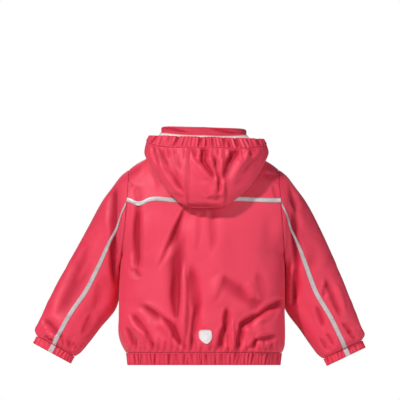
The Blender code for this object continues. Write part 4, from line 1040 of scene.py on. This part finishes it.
# ---- stitching

def above_armpit(line):
    """The stretch of a line, with its normals, above the armpit."""
    return [part[line[0][:, 2] > ARMPIT * MM] for part in line]


def both_sides(lines, off):
    """Two of a cloth's rows or columns, as far from both edges."""
    return [lines(off * MM), lines(-off * MM)]


rows = [casing.row(3.4 * MM)]
for cloth, low, high in ((collar, 3.2, 3.0), (hem, 3.2, 3.0), (cuffs["left"], 2.8, 2.6),
                         (cuffs["right"], 2.8, 2.6)):
    rows += [cloth.row(low * MM), cloth.row(-high * MM)]
stitches("band_stitches", rows, RED_THREAD, "coral_gathered_cloth")
rows = both_sides(hoods["centre"].column, 2.4)
rows += [hoods["left"].column(2.4 * MM), hoods["right"].column(-2.4 * MM)]
rows += [above_armpit(line) for line in (
    *both_sides(back.column, 2.6), *both_sides(yoke.column, 2.6),
    fronts["left"].column(-2.6 * MM), fronts["right"].column(2.6 * MM))]
rows += both_sides(placket.column, 2.6) + both_sides(placket.row, 3.0)
stitches("seam_stitches", rows, RED_THREAD, "coral_coated_cloth")
rows = both_sides(yoke_tape.row, 1.0)
for tape in tapes.values():
    rows += both_sides(tape.column, 1.0)
stitches("tape_stitches", rows, GREY_THREAD, "reflective_tape", 2.6, 0.2)


# ---- floor, light and camera

FLOOR_HALF, FLOOR_HEIGHT = 3.0, -0.447
AIM = (0.0, 0.0, -0.18)     # where every light points
PHOTO_WIDTH = 0.84          # 400 pixels of 2.1 mm
PHOTO_MIDDLE = (-0.0036, -0.0903)       # x and z of the photo's middle


def stage_material():
    """Plain pale floor."""
    look = Look("pale_floor_look")
    tint = look.mixed(look.noise(3.0, 3.0), (0.86, 0.86, 0.86), (0.90, 0.90, 0.90))
    return look.done(Base_Color=tint, Roughness=0.9)


def area_light(name, place, size, power):
    """A round light of a size in metres and a power in watts."""
    data = bpy.data.lights.new(name, "AREA")
    data.shape, data.size, data.energy = "DISK", size, power
    lamp = add_object(name, data, place)
    lamp.rotation_mode = "QUATERNION"
    lamp.rotation_quaternion = (Vector(AIM) - Vector(place)).to_track_quat("-Z", "Y")


corners = np.array([(x * FLOOR_HALF, y * FLOOR_HALF, FLOOR_HEIGHT)
                    for x, y in ((-1, -1), (1, -1), (1, 1), (-1, 1))])
add_mesh("floor", corners, [[0, 1, 2, 3]], stage_material())

area_light("key", (-5.0, -6.4, 6.2), 0.9, 890.0)
area_light("front", (2.6, -8.8, 1.8), 3.0, 130.0)
area_light("fill", (5.0, -3.4, 1.8), 2.0, 62.0)
area_light("rim", (-0.5, 5.0, 2.5), 3.0, 80.0)

# A dim white room that the camera sees as pure white
world = bpy.data.worlds.new("studio")
world.use_nodes = True
tree = world.node_tree
sky, seen = tree.nodes["Background"], tree.nodes.new("ShaderNodeBackground")
for node, strength in ((sky, 0.05), (seen, 1.0)):
    node.inputs["Color"].default_value = (1.0, 1.0, 1.0, 1.0)
    node.inputs["Strength"].default_value = strength
path = tree.nodes.new("ShaderNodeLightPath")
blend = tree.nodes.new("ShaderNodeMixShader")
for n, source in enumerate((path.outputs["Is Camera Ray"], sky.outputs[0], seen.outputs[0])):
    tree.links.new(source, blend.inputs[n])
tree.links.new(blend.outputs[0], tree.nodes["World Output"].inputs["Surface"])
bpy.context.scene.world = world
bpy.context.scene.view_settings.view_transform = "Standard"

view = bpy.data.cameras.new("camera")
view.type = "ORTHO"
view.ortho_scale = PHOTO_WIDTH
view.clip_start, view.clip_end = 0.05, 20.0
camera = add_object("camera", view, (PHOTO_MIDDLE[0], -2.2, PHOTO_MIDDLE[1]))
camera.rotation_euler = (math.pi / 2.0, 0.0, 0.0)
bpy.context.scene.camera = camera
